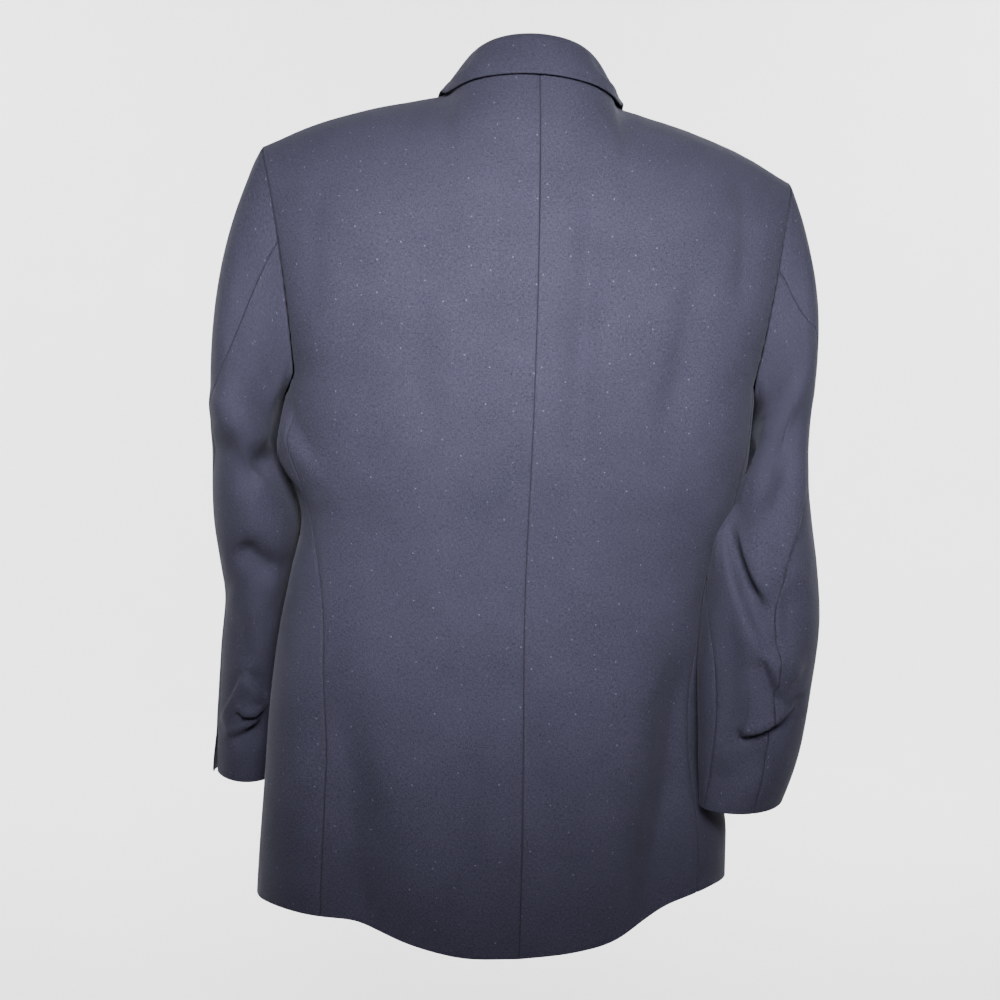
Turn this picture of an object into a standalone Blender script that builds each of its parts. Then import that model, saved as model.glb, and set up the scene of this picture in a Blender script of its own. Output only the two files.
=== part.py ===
"""A single-breasted tailored blazer, filled out as when it is worn, with nobody in it.

Metres, +Z up. The front faces -Y and +X is the wearer's left. The origin is the middle of the
neck's base, level with the points where the shoulder seams meet the neck.

Each piece that a tailor would cut is a wall of cloth of its own. The body's pieces are read from
one smooth form: level rings below the armholes, and above them a patch for the back and one for
the front. The sleeves leave the armholes' own edge and run down through oval sections.
"""

import math

import bpy
import numpy as np
from mathutils import Vector
from mathutils.bvhtree import BVHTree

# Cloth and seams
CLOTH = 0.0016                # cloth with its backing and lining
SEAM_GAP = 0.0003             # between two pieces at a seam
ARMHOLE_GAP = 0.0009          # from an armhole's edge straight on to the sleeve's middle line
UNDERARM_GAP = 0.0026         # from the same edge outwards, where the sleeve turns back down
LAID_ON = CLOTH + 0.0007      # middle line to middle line, for cloth that lies on cloth
LIFT = 0.0009                 # what lies on a panel stands this much higher away from its own fold
SLEEVE_CLEAR = 0.0046         # least distance between a sleeve's middle line and the body's
LAP_SHIFT = 0.0013            # how far each front moves off the shared form where the two lap
LAP_ABOVE_BREAK = 0.060       # how far above the roll line's start that move has faded out
LAP_REACH = 0.050             # how far from the centre front it is felt
LAP_FADE = 0.030              # and over what width it fades

# Finish: linear colour and roughness
CLOTH_FINISH = ((0.030, 0.034, 0.058), 0.85)
BUTTON_FINISH = ((0.012, 0.012, 0.018), 0.35)

# Body
RING_TOP = -0.250             # height of the highest full ring, where the armholes begin
RING_STEPS = 160              # straight steps round half a ring
ARMHOLE_DIP = 0.027           # how far the side panel's top edge dips under the arm
ARMHOLE_DIP_POWER = 0.8       # below 1, the dip is broader than a plain arch
NECK_HALF_WIDTH = 0.073
NECK_BACK = (0.070, 0.021)    # depth and height of the neck seam at the centre back
NECK_SIDE = (0.003, 0.000)    # the same where the shoulder seam meets the neck
SHOULDER_TIP = (0.239, 0.004, -0.058)
BREAK_HEIGHT = -0.400         # where the lapel's roll line starts, at the upper button
BREAK_FROM_CENTRE = 0.004
EDGE_EASE = 0.030             # height over which the front edge eases on to the roll line

# Pose of the filled garment, as in the photo: the hem is turned and drifts to the wearer's left,
# and the wearer's left shoulder stands higher.
POSE_TOP = -0.200
POSE_BOTTOM = -0.746
HEM_TWIST = math.radians(6.5)
HEM_DRIFT = 0.0125
SHOULDER_TILT = 0.024         # rise per metre from the middle, at the shoulders

# Sizes of the level rings. back and front are depths from the ring's widest place, whose own
# depth is middle. The square columns bend the oval towards a box.
RING_COLUMNS = ("height", "half_width", "middle", "back", "front", "back_square", "front_square")
RINGS = (
    (-0.770, 0.2210, 0.008, 0.1265, 0.128, 2.55, 2.45),
    (-0.700, 0.2190, 0.008, 0.1265, 0.127, 2.55, 2.45),
    (-0.620, 0.2160, 0.008, 0.1230, 0.126, 2.50, 2.40),
    (-0.540, 0.2135, 0.007, 0.1150, 0.122, 2.45, 2.40),
    (-0.480, 0.2085, 0.006, 0.1060, 0.118, 2.40, 2.40),
    (-0.430, 0.2010, 0.006, 0.1010, 0.116, 2.40, 2.40),
    (-0.380, 0.1940, 0.006, 0.1040, 0.117, 2.45, 2.40),
    (-0.330, 0.2090, 0.006, 0.1120, 0.121, 2.50, 2.40),
    (-0.290, 0.2105, 0.006, 0.1180, 0.123, 2.55, 2.40),
    (-0.250, 0.2110, 0.006, 0.1205, 0.123, 2.60, 2.40),
)

# Where the side panel's two seams lie, and the hem's height, on the rings
SEAM_COLUMNS = ("height", "back_seam_x", "front_seam_x")
SEAMS = (
    (-0.770, 0.170, 0.158),
    (-0.620, 0.170, 0.160),
    (-0.530, 0.170, 0.160),
    (-0.450, 0.172, 0.158),
    (-0.400, 0.180, 0.162),
    (-0.350, 0.191, 0.170),
    (-0.300, 0.201, 0.178),
    (-0.250, 0.203, 0.186),
)
HEM_COLUMNS = ("from_centre_back", "left", "right")
HEM = (
    (0.00, -0.746, -0.746),
    (0.05, -0.743, -0.743),
    (0.09, -0.733, -0.736),
    (0.12, -0.724, -0.7245),
    (0.15, -0.716, -0.7115),
    (0.19, -0.714, -0.705),
    (0.23, -0.716, -0.708),
    (0.28, -0.725, -0.720),
    (0.38, -0.746, -0.746),
    (0.50, -0.757, -0.757),
)

# Centre back above the rings, then the roll line of the lapel
CENTRE_BACK_COLUMNS = ("height", "depth")
CENTRE_BACK = (
    (-0.250, 0.1265),
    (-0.200, 0.1265),
    (-0.150, 0.1225),
    (-0.100, 0.1140),
    (-0.050, 0.1000),
    (-0.010, 0.0845),
    (0.021, 0.0700),
)
ROLL_COLUMNS = ("height", "depth")
ROLL_LINE = (
    (-0.250, -0.1150),
    (-0.200, -0.1120),
    (-0.150, -0.1020),
    (-0.100, -0.0840),
    (-0.050, -0.0530),
    (-0.020, -0.0260),
    (0.000, 0.0030),
)
ARMHOLE_COLUMNS = ("height", "x", "depth")
BACK_ARMHOLE = (
    (-0.250, 0.2030, 0.0560),
    (-0.200, 0.2090, 0.0670),
    (-0.150, 0.2170, 0.0630),
    (-0.110, 0.2250, 0.0510),
    (-0.080, 0.2325, 0.0340),
    (-0.064, 0.2375, 0.0170),
    (-0.058, 0.2390, 0.0040),
)
FRONT_ARMHOLE = (
    (-0.250, 0.1860, -0.0700),
    (-0.200, 0.1900, -0.0740),
    (-0.150, 0.2010, -0.0680),
    (-0.110, 0.2140, -0.0520),
    (-0.080, 0.2265, -0.0320),
    (-0.064, 0.2355, -0.0130),
    (-0.058, 0.2390, 0.0040),
)
SHOULDER_COLUMNS = ("x", "height")
SHOULDER = (
    (0.073, 0.0000),
    (0.108, -0.0090),
    (0.135, -0.0155),
    (0.161, -0.0235),
    (0.184, -0.0315),
    (0.205, -0.0405),
    (0.226, -0.0515),
    (0.239, -0.0580),
)
NECK_SHARE = 0.36             # share of the back's top edge that is neck
BACK_TOP_MIDDLE = np.array((0.105, 0.052, 0.010))  # pull of the plain curve above the shoulder blades
ROLL_OVER_POWER = 3.5         # how close to the shoulder seam the back turns over
BACK_FULLNESS = 0.006         # outward fullness over the shoulder blade
BACK_FULLNESS_PLACE = (1.6, 1.3)  # powers that set its place: above 1, up and out from the middle
FRONT_FULLNESS = 0.010        # the same over the chest
FRONT_FULLNESS_PLACE = (1.6, 0.8)
ROW_CROWDING = 1.35           # above 1, the rows over the armholes stand closer near the shoulder

# Front edge: how far it passes the centre, below the break
EDGE_COLUMNS = ("height", "past_centre")
FRONT_EDGE = (
    (-0.770, -0.085),
    (-0.745, -0.070),
    (-0.710, -0.038),
    (-0.660, -0.014),
    (-0.600, 0.004),
    (-0.540, 0.014),
    (-0.480, 0.019),
    (-0.430, 0.020),
    (-0.400, 0.012),
)

FOLD_FADE = 0.22              # share of a fold's length over which it fades in, and out past its end

# Folds of the body. along is the distance from the centre back round the ring, side is +1 on the
# wearer's left. A negative depth is a trough.
FOLD_COLUMNS = ("side", "along_a", "height_a", "along_b", "height_b", "depth", "half_width")
BODY_FOLDS = (
    (-1, 0.050, -0.060, 0.036, -0.360, -0.0045, 0.014),
    (-1, 0.150, -0.170, 0.120, -0.320, -0.0050, 0.020),
    (-1, 0.190, -0.060, 0.186, -0.170, -0.0025, 0.009),
    (1, 0.010, -0.060, 0.026, -0.240, -0.0030, 0.013),
    (1, 0.100, -0.110, 0.092, -0.300, -0.0035, 0.016),
    (1, 0.160, -0.540, 0.128, -0.760, -0.0100, 0.022),
    (-1, 0.156, -0.480, 0.118, -0.760, -0.0110, 0.024),
    (1, 0.245, -0.325, 0.220, -0.300, 0.0100, 0.026),
    (-1, 0.225, -0.400, 0.225, -0.620, -0.0240, 0.040),
)

# Sleeve sections below the armhole: height, centre, half thickness from body outwards, half
# depth from front to back, and the turn of the oval about its centre in degrees.
SLEEVE_COLUMNS = ("height", "x", "y", "half_thick", "half_deep", "turn")
LEFT_SLEEVE = (
    (-0.660, 0.2525, -0.0900, 0.0310, 0.0570, 4.0),
    (-0.580, 0.2475, -0.0800, 0.0340, 0.0620, 4.0),
    (-0.520, 0.2410, -0.0650, 0.0360, 0.0660, 4.0),
    (-0.465, 0.2345, -0.0460, 0.0380, 0.0700, 3.0),
    (-0.430, 0.2340, -0.0330, 0.0405, 0.0720, 2.0),
    (-0.390, 0.2370, -0.0200, 0.0415, 0.0750, 0.0),
    (-0.330, 0.2465, -0.0040, 0.0325, 0.0780, 0.0),
)
RIGHT_SLEEVE = (
    (-0.660, 0.1990, 0.0480, 0.0385, 0.0520, 24.0),
    (-0.580, 0.2125, 0.0560, 0.0470, 0.0580, 26.0),
    (-0.520, 0.2170, 0.0590, 0.0490, 0.0620, 26.0),
    (-0.455, 0.2245, 0.0540, 0.0475, 0.0660, 24.0),
    (-0.410, 0.2280, 0.0390, 0.0440, 0.0700, 16.0),
    (-0.370, 0.2280, 0.0230, 0.0410, 0.0740, 8.0),
    (-0.330, 0.2290, 0.0100, 0.0360, 0.0780, 3.0),
)
SLEEVE_TOP = -0.330           # height of the highest sleeve section
CUFF_HEIGHT = {1: -0.643, -1: -0.626}
SLEEVE_LEAVE = {1: (0.39, 0.00, -0.91), -1: (0.34, 0.00, -0.93)}  # heading at the armhole's top and bottom
SLEEVE_LEAVE_SIDE = (0.76, 0.36, -0.54)  # the same at the armhole's back and front

# Seams of the sleeves, in degrees round the sleeve: 0 outside, 90 back, 180 body side, 270 front
SLEEVE_SEAM_COLUMNS = ("share", "hind", "fore")
LEFT_SLEEVE_SEAMS = (
    (0.00, 66.0, 244.0),
    (0.05, 74.0, 243.0),
    (0.13, 79.0, 242.0),
    (0.20, 74.0, 240.0),
    (0.28, 57.0, 237.0),
    (0.38, 31.0, 233.0),
    (0.50, 18.0, 227.0),
    (0.70, 16.0, 218.0),
    (1.00, 20.0, 208.0),
)
RIGHT_SLEEVE_SEAMS = (
    (0.00, 67.0, 244.0),
    (0.05, 72.5, 243.0),
    (0.10, 71.0, 242.0),
    (0.18, 52.0, 240.0),
    (0.28, 32.0, 236.0),
    (0.38, 32.0, 226.0),
    (0.50, 57.0, 200.0),
    (0.60, 61.0, 160.0),
    (0.70, 55.0, 132.0),
    (0.85, 53.0, 118.0),
    (1.00, 54.0, 114.0),
)
CAP_SHARE = 0.42              # share of the sleeve's rows above SLEEVE_TOP
CLEAR_FROM_SHARE = 0.10       # share from which a sleeve keeps its full distance from the body
CLEAR_BELOW = -0.236          # height below which it does, over a short run
CLEAR_RUN = 0.030
SLEEVE_ROUND = 0.055          # mean radius of a sleeve, which turns degrees round it into lengths
STEP_SHARE = 0.3              # share of a step's half width over which it rises

# Folds of the sleeves. turn is degrees round the sleeve, kind is trough, ridge or step. A step
# raises what lies above its line and sinks what lies below it.
SLEEVE_FOLD_COLUMNS = ("kind", "turn_a", "height_a", "turn_b", "height_b", "depth", "half_width")
LEFT_SLEEVE_FOLDS = (
    ("trough", 172.0, -0.310, 120.0, -0.335, -0.0060, 0.012),
    ("trough", 150.0, -0.435, 60.0, -0.415, -0.0060, 0.016),
    ("trough", 20.0, -0.460, 340.0, -0.468, -0.0040, 0.016),
    ("trough", 110.0, -0.600, 60.0, -0.585, -0.0040, 0.010),
)
RIGHT_SLEEVE_FOLDS = (
    ("step", 150.0, -0.360, 68.0, -0.470, 0.0090, 0.020),
    ("trough", 104.0, -0.420, 100.0, -0.560, -0.0110, 0.020),
    ("trough", 62.0, -0.265, 110.0, -0.345, -0.0050, 0.014),
    ("trough", 110.0, -0.600, 50.0, -0.570, -0.0050, 0.012),
)

# Lapel: its width across the front at shares of its length, from the break up to the gorge
LAPEL_COLUMNS = ("share", "width")
LAPEL = (
    (0.00, 0.006),
    (0.12, 0.022),
    (0.35, 0.044),
    (0.65, 0.066),
    (0.86, 0.080),
    (1.00, 0.086),
)
LAPEL_START = {1: -0.386, -1: -0.362}  # height of its lower end on the wearer's left and right
LAPEL_TOP = -0.084            # height of the roll line at the gorge
LAPEL_TOP_SLANT = 0.016       # how much lower the lapel's top edge ends than it starts
LAPEL_SLANT_POWER = 6         # how close to the top edge its rows take up that slant
LAPEL_SWELL_FROM = 0.2        # above 0, the swell starts before the lapel's lower end
LAPEL_INSET = 0.0004          # from the roll line to the lapel's first points
LAPEL_BELLY = 0.0020          # how far its middle stands off the chest
LAPEL_ROWS = 14
LAPEL_SPANS = 6

# Collar, from the centre back (0) round to its front end (1): height and inward lean of the stand,
# and where the fall's edge lies, out from the neck seam and down from it.
COLLAR_SIDE = 0.60            # the share where it passes the shoulder seam
COLLAR_END_HEIGHT = -0.076    # height of the neck's edge at its front end
COLLAR_COLUMNS = ("share", "stand", "lean", "out", "down")
COLLAR = (
    (0.00, 0.0190, 0.0085, 0.0125, 0.0135),
    (0.20, 0.0190, 0.0105, 0.0120, 0.0130),
    (0.40, 0.0175, 0.0135, 0.0105, 0.0120),
    (0.60, 0.0145, 0.0140, 0.0105, 0.0080),
    (0.75, 0.0110, 0.0100, 0.0220, 0.0080),
    (0.88, 0.0085, 0.0045, 0.0350, 0.0090),
    (1.00, 0.0070, 0.0025, 0.0450, 0.0120),
)
COLLAR_FOLD = 0.0022          # half the turn at the top of the collar
COLLAR_BELLY = 0.0022         # how far the fall's middle stands out
COLLAR_HOLLOW = 0.0008        # how far the stand's middle leans in
COLLAR_FOOT_UP = 0.0013       # from the neck's edge to the foot of the stand
COLLAR_FOOT_IN = 0.0006
COLLAR_ON = 0.0040            # middle line to middle line, of the fall over the shoulders
COLLAR_OVER = 0.0024          # how much higher it passes over the shoulder seam
COLLAR_OVER_RUN = 0.16        # share of its length over which that fades
COLLAR_TURNS = (0.0, 60.0, 120.0, 180.0)  # degrees round the fold at its top
FALL_SHARES = (0.34, 0.67, 1.0)  # places of the fall's points, from its fold to its edge

# Small pieces
BUTTON_RADIUS = 0.0100
BUTTON_THICK = 0.0034
BUTTON_STANDS = 0.0005        # between a button and the cloth under it
BUTTON_PROFILE = ((0.0, 0.0), (0.80, 0.0), (1.0, 0.35), (1.0, 0.65), (0.86, 1.0), (0.66, 0.72), (0.0, 0.66))
BUTTON_SIDES = 16
FRONT_BUTTON_HEIGHTS = {"upper": -0.412, "lower": -0.520}

# How finely the walls are divided
BODY_ROWS_LOW = 15
BODY_ROWS_HIGH = 9
BACK_SPANS = 9
SIDE_SPANS = 6
FRONT_SPANS = 8
TOP_SLEEVE_SPANS = 12
UNDER_SLEEVE_SPANS = 9
SLEEVE_ROWS = 24
COLLAR_STATIONS = 33


def column(table, columns, name, at):
    """Reads one named column of a table at any place of its first column, on a smooth curve."""
    rows = np.asarray(table, float)
    knots = rows[:, 0]
    values = rows[:, columns.index(name)]
    run = np.diff(knots)
    rise = np.diff(values) / run
    slope = np.empty_like(values)
    slope[0] = rise[0]
    slope[-1] = rise[-1]
    slope[1:-1] = (rise[:-1] * run[1:] + rise[1:] * run[:-1]) / (run[:-1] + run[1:])
    at = np.clip(np.asarray(at, float), knots[0], knots[-1])
    cell = np.clip(np.searchsorted(knots, at) - 1, 0, len(run) - 1)
    share = (at - knots[cell]) / run[cell]
    bend_a = (1.0 + 2.0 * share) * (1.0 - share) ** 2
    bend_b = share * (1.0 - share) ** 2
    bend_c = share ** 2 * (3.0 - 2.0 * share)
    bend_d = share ** 2 * (share - 1.0)
    ends = bend_a * values[cell] + bend_c * values[cell + 1]
    return ends + run[cell] * (bend_b * slope[cell] + bend_d * slope[cell + 1])


def unit(vectors):
    """Vectors of length one."""
    return vectors / np.maximum(np.linalg.norm(vectors, axis=-1, keepdims=True), 1e-12)


def half_ring(height):
    """The left half of a level ring from centre back to centre front: x, depth, distance round."""
    sizes = {name: float(column(RINGS, RING_COLUMNS, name, height)) for name in RING_COLUMNS[1:]}
    turn = np.linspace(0.0, math.pi, RING_STEPS + 1)
    across = np.sin(turn)
    deep = np.cos(turn)
    square = np.where(deep >= 0.0, sizes["back_square"], sizes["front_square"])
    reach = np.where(deep >= 0.0, sizes["back"], sizes["front"])
    x = sizes["half_width"] * np.abs(across) ** (2.0 / square)
    y = sizes["middle"] + reach * np.sign(deep) * np.abs(deep) ** (2.0 / square)
    along = np.concatenate(([0.0], np.cumsum(np.hypot(np.diff(x), np.diff(y)))))
    return x, y, along


def seam_places(height):
    """Distances round the half ring of the side panel's two seams, and of the centre front."""
    x, y, along = half_ring(height)
    widest = int(np.argmax(x))
    back_x = float(column(SEAMS, SEAM_COLUMNS, "back_seam_x", height))
    front_x = float(column(SEAMS, SEAM_COLUMNS, "front_seam_x", height))
    back = np.interp(back_x, x[:widest + 1], along[:widest + 1])
    front = np.interp(-front_x, -x[widest:], along[widest:])
    return float(back), float(front), float(along[-1])


def ring_point(height, place):
    """A point of the half ring, and past its centre front on the other side."""
    x, y, along = half_ring(height)
    past = place > along[-1]
    read = 2.0 * along[-1] - place if past else place
    across = float(np.interp(read, along, x))
    return np.array((-across if past else across, float(np.interp(read, along, y)), height))


def edge_place(height):
    """Distance round the half ring of the front's own edge."""
    end = seam_places(height)[2]
    if height <= BREAK_HEIGHT:
        return end + float(column(FRONT_EDGE, EDGE_COLUMNS, "past_centre", height))
    x, y, along = half_ring(height)
    widest = int(np.argmax(x))
    rolled = float(np.interp(-roll_x(height), -x[widest:], along[widest:]))
    lapped = end + float(column(FRONT_EDGE, EDGE_COLUMNS, "past_centre", BREAK_HEIGHT))
    share = min(1.0, (height - BREAK_HEIGHT) / EDGE_EASE)
    return lapped + (rolled - lapped) * share


def roll_x(height):
    """How far the lapel's roll line stands from the centre at a height."""
    share = (height - BREAK_HEIGHT) / (NECK_SIDE[1] - BREAK_HEIGHT)
    return BREAK_FROM_CENTRE + (NECK_HALF_WIDTH - BREAK_FROM_CENTRE) * share


def patch(bottom, top, inner, outer, rises):
    """A surface between four curves that meet at the corners. Rows run from bottom to top."""
    rise = rises[:, None, None]
    run = np.linspace(0.0, 1.0, len(bottom))[None, :, None]
    between_rows = (1.0 - rise) * bottom[None] + rise * top[None]
    between_columns = (1.0 - run) * inner[:, None] + run * outer[:, None]
    low = (1.0 - run) * bottom[0] + run * bottom[-1]
    high = (1.0 - run) * top[0] + run * top[-1]
    return between_rows + between_columns - ((1.0 - rise) * low + rise * high)


def curve_up(table, columns, rises, x_of=None):
    """Points up a table of heights from its first row to its last, at shares of its length."""
    heights = np.asarray(table, float)[:, 0]
    depths = np.asarray(table, float)[:, -1]
    steps = np.concatenate(([0.0], np.cumsum(np.hypot(np.diff(heights), np.diff(depths)))))
    share = np.interp(rises * steps[-1], steps, heights)
    depth = column(table, columns, "depth", share)
    if x_of is None:
        x = column(table, columns, "x", share)
    else:
        x = np.array([x_of(value) for value in share])
    return np.stack((x, depth, share), axis=1)


def shoulder_edge(spans):
    """The shoulder seam from the neck out to the tip."""
    x = np.linspace(NECK_HALF_WIDTH, SHOULDER_TIP[0], spans + 1)
    height = column(SHOULDER, SHOULDER_COLUMNS, "height", x)
    share = (x - NECK_HALF_WIDTH) / (SHOULDER_TIP[0] - NECK_HALF_WIDTH)
    depth = NECK_SIDE[0] + (SHOULDER_TIP[1] - NECK_SIDE[0]) * share
    return np.stack((x, depth, height), axis=1)


def neck_point(share):
    """The neck seam from the centre back (0) to the shoulder seam (1)."""
    turn = 0.5 * math.pi * share
    x = NECK_HALF_WIDTH * math.sin(turn)
    depth = NECK_SIDE[0] + (NECK_BACK[0] - NECK_SIDE[0]) * math.cos(turn)
    height = NECK_SIDE[1] + (NECK_BACK[1] - NECK_SIDE[1]) * math.cos(turn)
    return np.array((x, depth, height))


def back_top(spans):
    """The back's top edge: the neck, then the shoulder seam, at even shares."""
    points = []
    for share in np.linspace(0.0, 1.0, spans + 1):
        if share <= NECK_SHARE:
            points.append(neck_point(share / NECK_SHARE))
        else:
            out = (share - NECK_SHARE) / (1.0 - NECK_SHARE)
            x = NECK_HALF_WIDTH + (SHOULDER_TIP[0] - NECK_HALF_WIDTH) * out
            height = float(column(SHOULDER, SHOULDER_COLUMNS, "height", x))
            points.append(np.array((x, NECK_SIDE[0] + (SHOULDER_TIP[1] - NECK_SIDE[0]) * out, height)))
    return np.array(points)


def rolled_over(spans, middle, rises):
    """What the back's top edge adds to a plain curve through middle, felt only near the edge."""
    top = back_top(spans)
    share = np.linspace(0.0, 1.0, spans + 1)[:, None]
    plain = (1.0 - share) ** 2 * top[0] + 2.0 * share * (1.0 - share) * middle + share ** 2 * top[-1]
    return plain, (top - plain)[None] * (rises ** ROLL_OVER_POWER)[:, None, None]


def fullness(rises, spans, amount, high, wide):
    """A soft swelling over a patch, none at its edges."""
    rise = rises[:, None]
    run = np.linspace(0.0, 1.0, spans + 1)[None, :]
    lift = np.sin(math.pi * rise ** high) * np.sin(math.pi * run ** wide)
    return amount * np.maximum(lift, 0.0)


def grid_normals(points, outward):
    """Unit normals of a grid of points, turned to the side that outward(points) gives."""
    down_rows = np.gradient(points, axis=0)
    along_columns = np.gradient(points, axis=1)
    normals = unit(np.cross(along_columns, down_rows))
    middle = (points.shape[0] // 2, points.shape[1] // 2)
    if np.dot(normals[middle], outward) < 0.0:
        normals = -normals
    return normals


def half_body(side, rows_low, rows_high, back_spans, side_spans, front_spans):
    """Grids of one half's back, side and front, all at +X, on the shared form, with no folds yet.

    Each grid's rows run up from the hem, and its columns run from the back to the front.
    Also gives each point's distance round the body from the centre back.
    """
    share_low = np.linspace(0.0, 1.0, rows_low + 1)
    hem_column = "left" if side > 0 else "right"
    grids = {}
    places = {}
    for name, spans in (("back", back_spans), ("side", side_spans), ("front", front_spans)):
        grid = np.zeros((rows_low + 1, spans + 1, 3))
        place = np.zeros((rows_low + 1, spans + 1))
        for j in range(spans + 1):
            run = j / spans
            for i, rise in enumerate(share_low):
                height = RING_TOP
                for _ in range(3):
                    back, front, end = seam_places(height)
                    if name == "back":
                        at = back * run
                    elif name == "side":
                        at = back + (front - back) * run
                    else:
                        at = front + (edge_place(height) - front) * run
                    hem = float(column(HEM, HEM_COLUMNS, hem_column, min(at, end)))
                    top = RING_TOP
                    if name == "side":
                        top -= ARMHOLE_DIP * math.sin(math.pi * run) ** ARMHOLE_DIP_POWER
                    height = hem + (top - hem) * rise
                grid[i, j] = ring_point(height, at)
                place[i, j] = at
        grids[name] = grid
        places[name] = place
    rows = rows_high + 1
    rises = 1.0 - (1.0 - np.linspace(0.0, 1.0, rows)) ** ROW_CROWDING
    bottom = grids["back"][-1]
    inner = curve_up(CENTRE_BACK, CENTRE_BACK_COLUMNS, rises, lambda height: 0.0)
    outer = curve_up(BACK_ARMHOLE, ARMHOLE_COLUMNS, rises)
    inner[0] = bottom[0]
    outer[0] = bottom[-1]
    plain, rolled = rolled_over(back_spans, BACK_TOP_MIDDLE, rises)
    high_back = patch(bottom, plain, inner, outer, rises) + rolled
    full = fullness(rises, back_spans, BACK_FULLNESS, *BACK_FULLNESS_PLACE)[..., None]
    high_back += grid_normals(high_back, (0, 1, 0)) * full
    bottom = grids["front"][-1]
    inner = curve_up(FRONT_ARMHOLE, ARMHOLE_COLUMNS, rises)
    outer = curve_up(ROLL_LINE, ROLL_COLUMNS, rises, roll_x)
    inner[0] = bottom[0]
    outer[0] = bottom[-1]
    high_front = patch(bottom, shoulder_edge(front_spans)[::-1], inner, outer, rises)
    full = fullness(rises, front_spans, FRONT_FULLNESS, *FRONT_FULLNESS_PLACE)[..., None]
    high_front += grid_normals(high_front, (0, -1, 0)) * full
    for name, high in (("back", high_back), ("front", high_front)):
        step = np.linalg.norm(np.diff(high, axis=1), axis=2)
        first = places[name][-1, 0]
        if name == "back":
            place = np.concatenate((np.zeros((rows, 1)), np.cumsum(step, axis=1)), axis=1)
        else:
            place = first + np.concatenate((np.zeros((rows, 1)), np.cumsum(step, axis=1)), axis=1)
        grids[name] = np.concatenate((grids[name], high[1:]))
        places[name] = np.concatenate((places[name], place[1:]))
    return grids, places


def shared_normals(grids, rows_low):
    """Normals of the three grids, the same on both sides of each seam."""
    normals = {
        "back": grid_normals(grids["back"], (0.2, 1, 0)),
        "side": grid_normals(grids["side"], (1, 0, 0)),
        "front": grid_normals(grids["front"], (0.2, -1, 0)),
    }
    last = rows_low + 1
    for first, second in (("back", "side"), ("side", "front")):
        joined = unit(normals[first][:last, -1] + normals[second][:last, 0])
        normals[first][:last, -1] = joined
        normals[second][:last, 0] = joined
    normals["back"][:, 0, 0] = 0.0
    normals["back"][:, 0] = unit(normals["back"][:, 0])
    for name in ("back", "front"):
        edge = grids[name][-1]
        along = unit(np.gradient(edge, axis=0))
        upright = np.array((0.0, 0.0, 1.0))
        square = unit(upright - along * (along @ upright)[:, None])
        share = np.clip((np.abs(edge[:, 0]) - NECK_HALF_WIDTH) / 0.01 + 1.0, 0.0, 1.0)[:, None]
        normals[name][-1] = unit(normals[name][-1] * (1.0 - share) + square * share)
    return normals


def stroke(along, height, fold, names):
    """How much of a fold is felt at each place: 1 on its line, falling off beside and past it."""
    row = dict(zip(names, fold))
    start = np.array((row["along_a"], row["height_a"]))
    run = np.array((row["along_b"], row["height_b"])) - start
    length = np.linalg.norm(run)
    heading = run / length
    offset_x = along - start[0]
    offset_z = height - start[1]
    ahead = (offset_x * heading[0] + offset_z * heading[1]) / length
    beside = offset_x * heading[1] - offset_z * heading[0]
    began = np.clip((ahead + FOLD_FADE) / (2.0 * FOLD_FADE), 0.0, 1.0)
    to_end = np.clip((1.0 + FOLD_FADE - ahead) / (2.0 * FOLD_FADE), 0.0, 1.0)
    fade = began * to_end
    fade = fade * fade * (3.0 - 2.0 * fade)
    return fade * np.exp(-0.5 * (beside / row["half_width"]) ** 2)


def body_relief(side, places, heights):
    """Outward relief of the body's folds."""
    relief = np.zeros_like(places)
    for fold in BODY_FOLDS:
        row = dict(zip(FOLD_COLUMNS, fold))
        if row["side"] == side:
            relief += row["depth"] * stroke(places, heights, fold, FOLD_COLUMNS)
    return relief


def inward(edge, beside):
    """Unit directions from an edge's points into the cloth, square to the edge."""
    along = unit(np.gradient(edge, axis=0))
    across = beside - edge
    return unit(across - along * np.sum(across * along, axis=-1, keepdims=True))


def inset(points, edges, amount):
    """Moves the named edges of a grid back into it by a distance, to leave a seam's gap."""
    moved = points.copy()
    if "first_column" in edges:
        moved[:, 0] += amount * inward(points[:, 0], points[:, 1])
    if "last_column" in edges:
        moved[:, -1] += amount * inward(points[:, -1], points[:, -2])
    if "last_row" in edges:
        moved[-1] += amount * inward(points[-1], points[-2])
    return moved


def make_material(name, finish):
    """A plain surface with one colour."""
    colour, roughness = finish
    material = bpy.data.materials.new(name)
    material.use_nodes = True
    shader = material.node_tree.nodes["Principled BSDF"]
    shader.inputs["Base Color"].default_value = (*colour, 1.0)
    shader.inputs["Roughness"].default_value = roughness
    shader.inputs["Metallic"].default_value = 0.0
    return material


def make_object(name, vertices, faces, finish):
    """One closed body as a named object."""
    mesh = bpy.data.meshes.new(name)
    mesh.from_pydata([tuple(float(value) for value in point) for point in vertices], [], faces)
    mesh.update()
    mesh.materials.append(make_material(f"{name}_surface", finish))
    mesh.shade_smooth()
    mesh.set_sharp_from_angle(angle=math.radians(40.0))
    piece = bpy.data.objects.new(name, mesh)
    bpy.context.scene.collection.objects.link(piece)
    return piece


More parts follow.
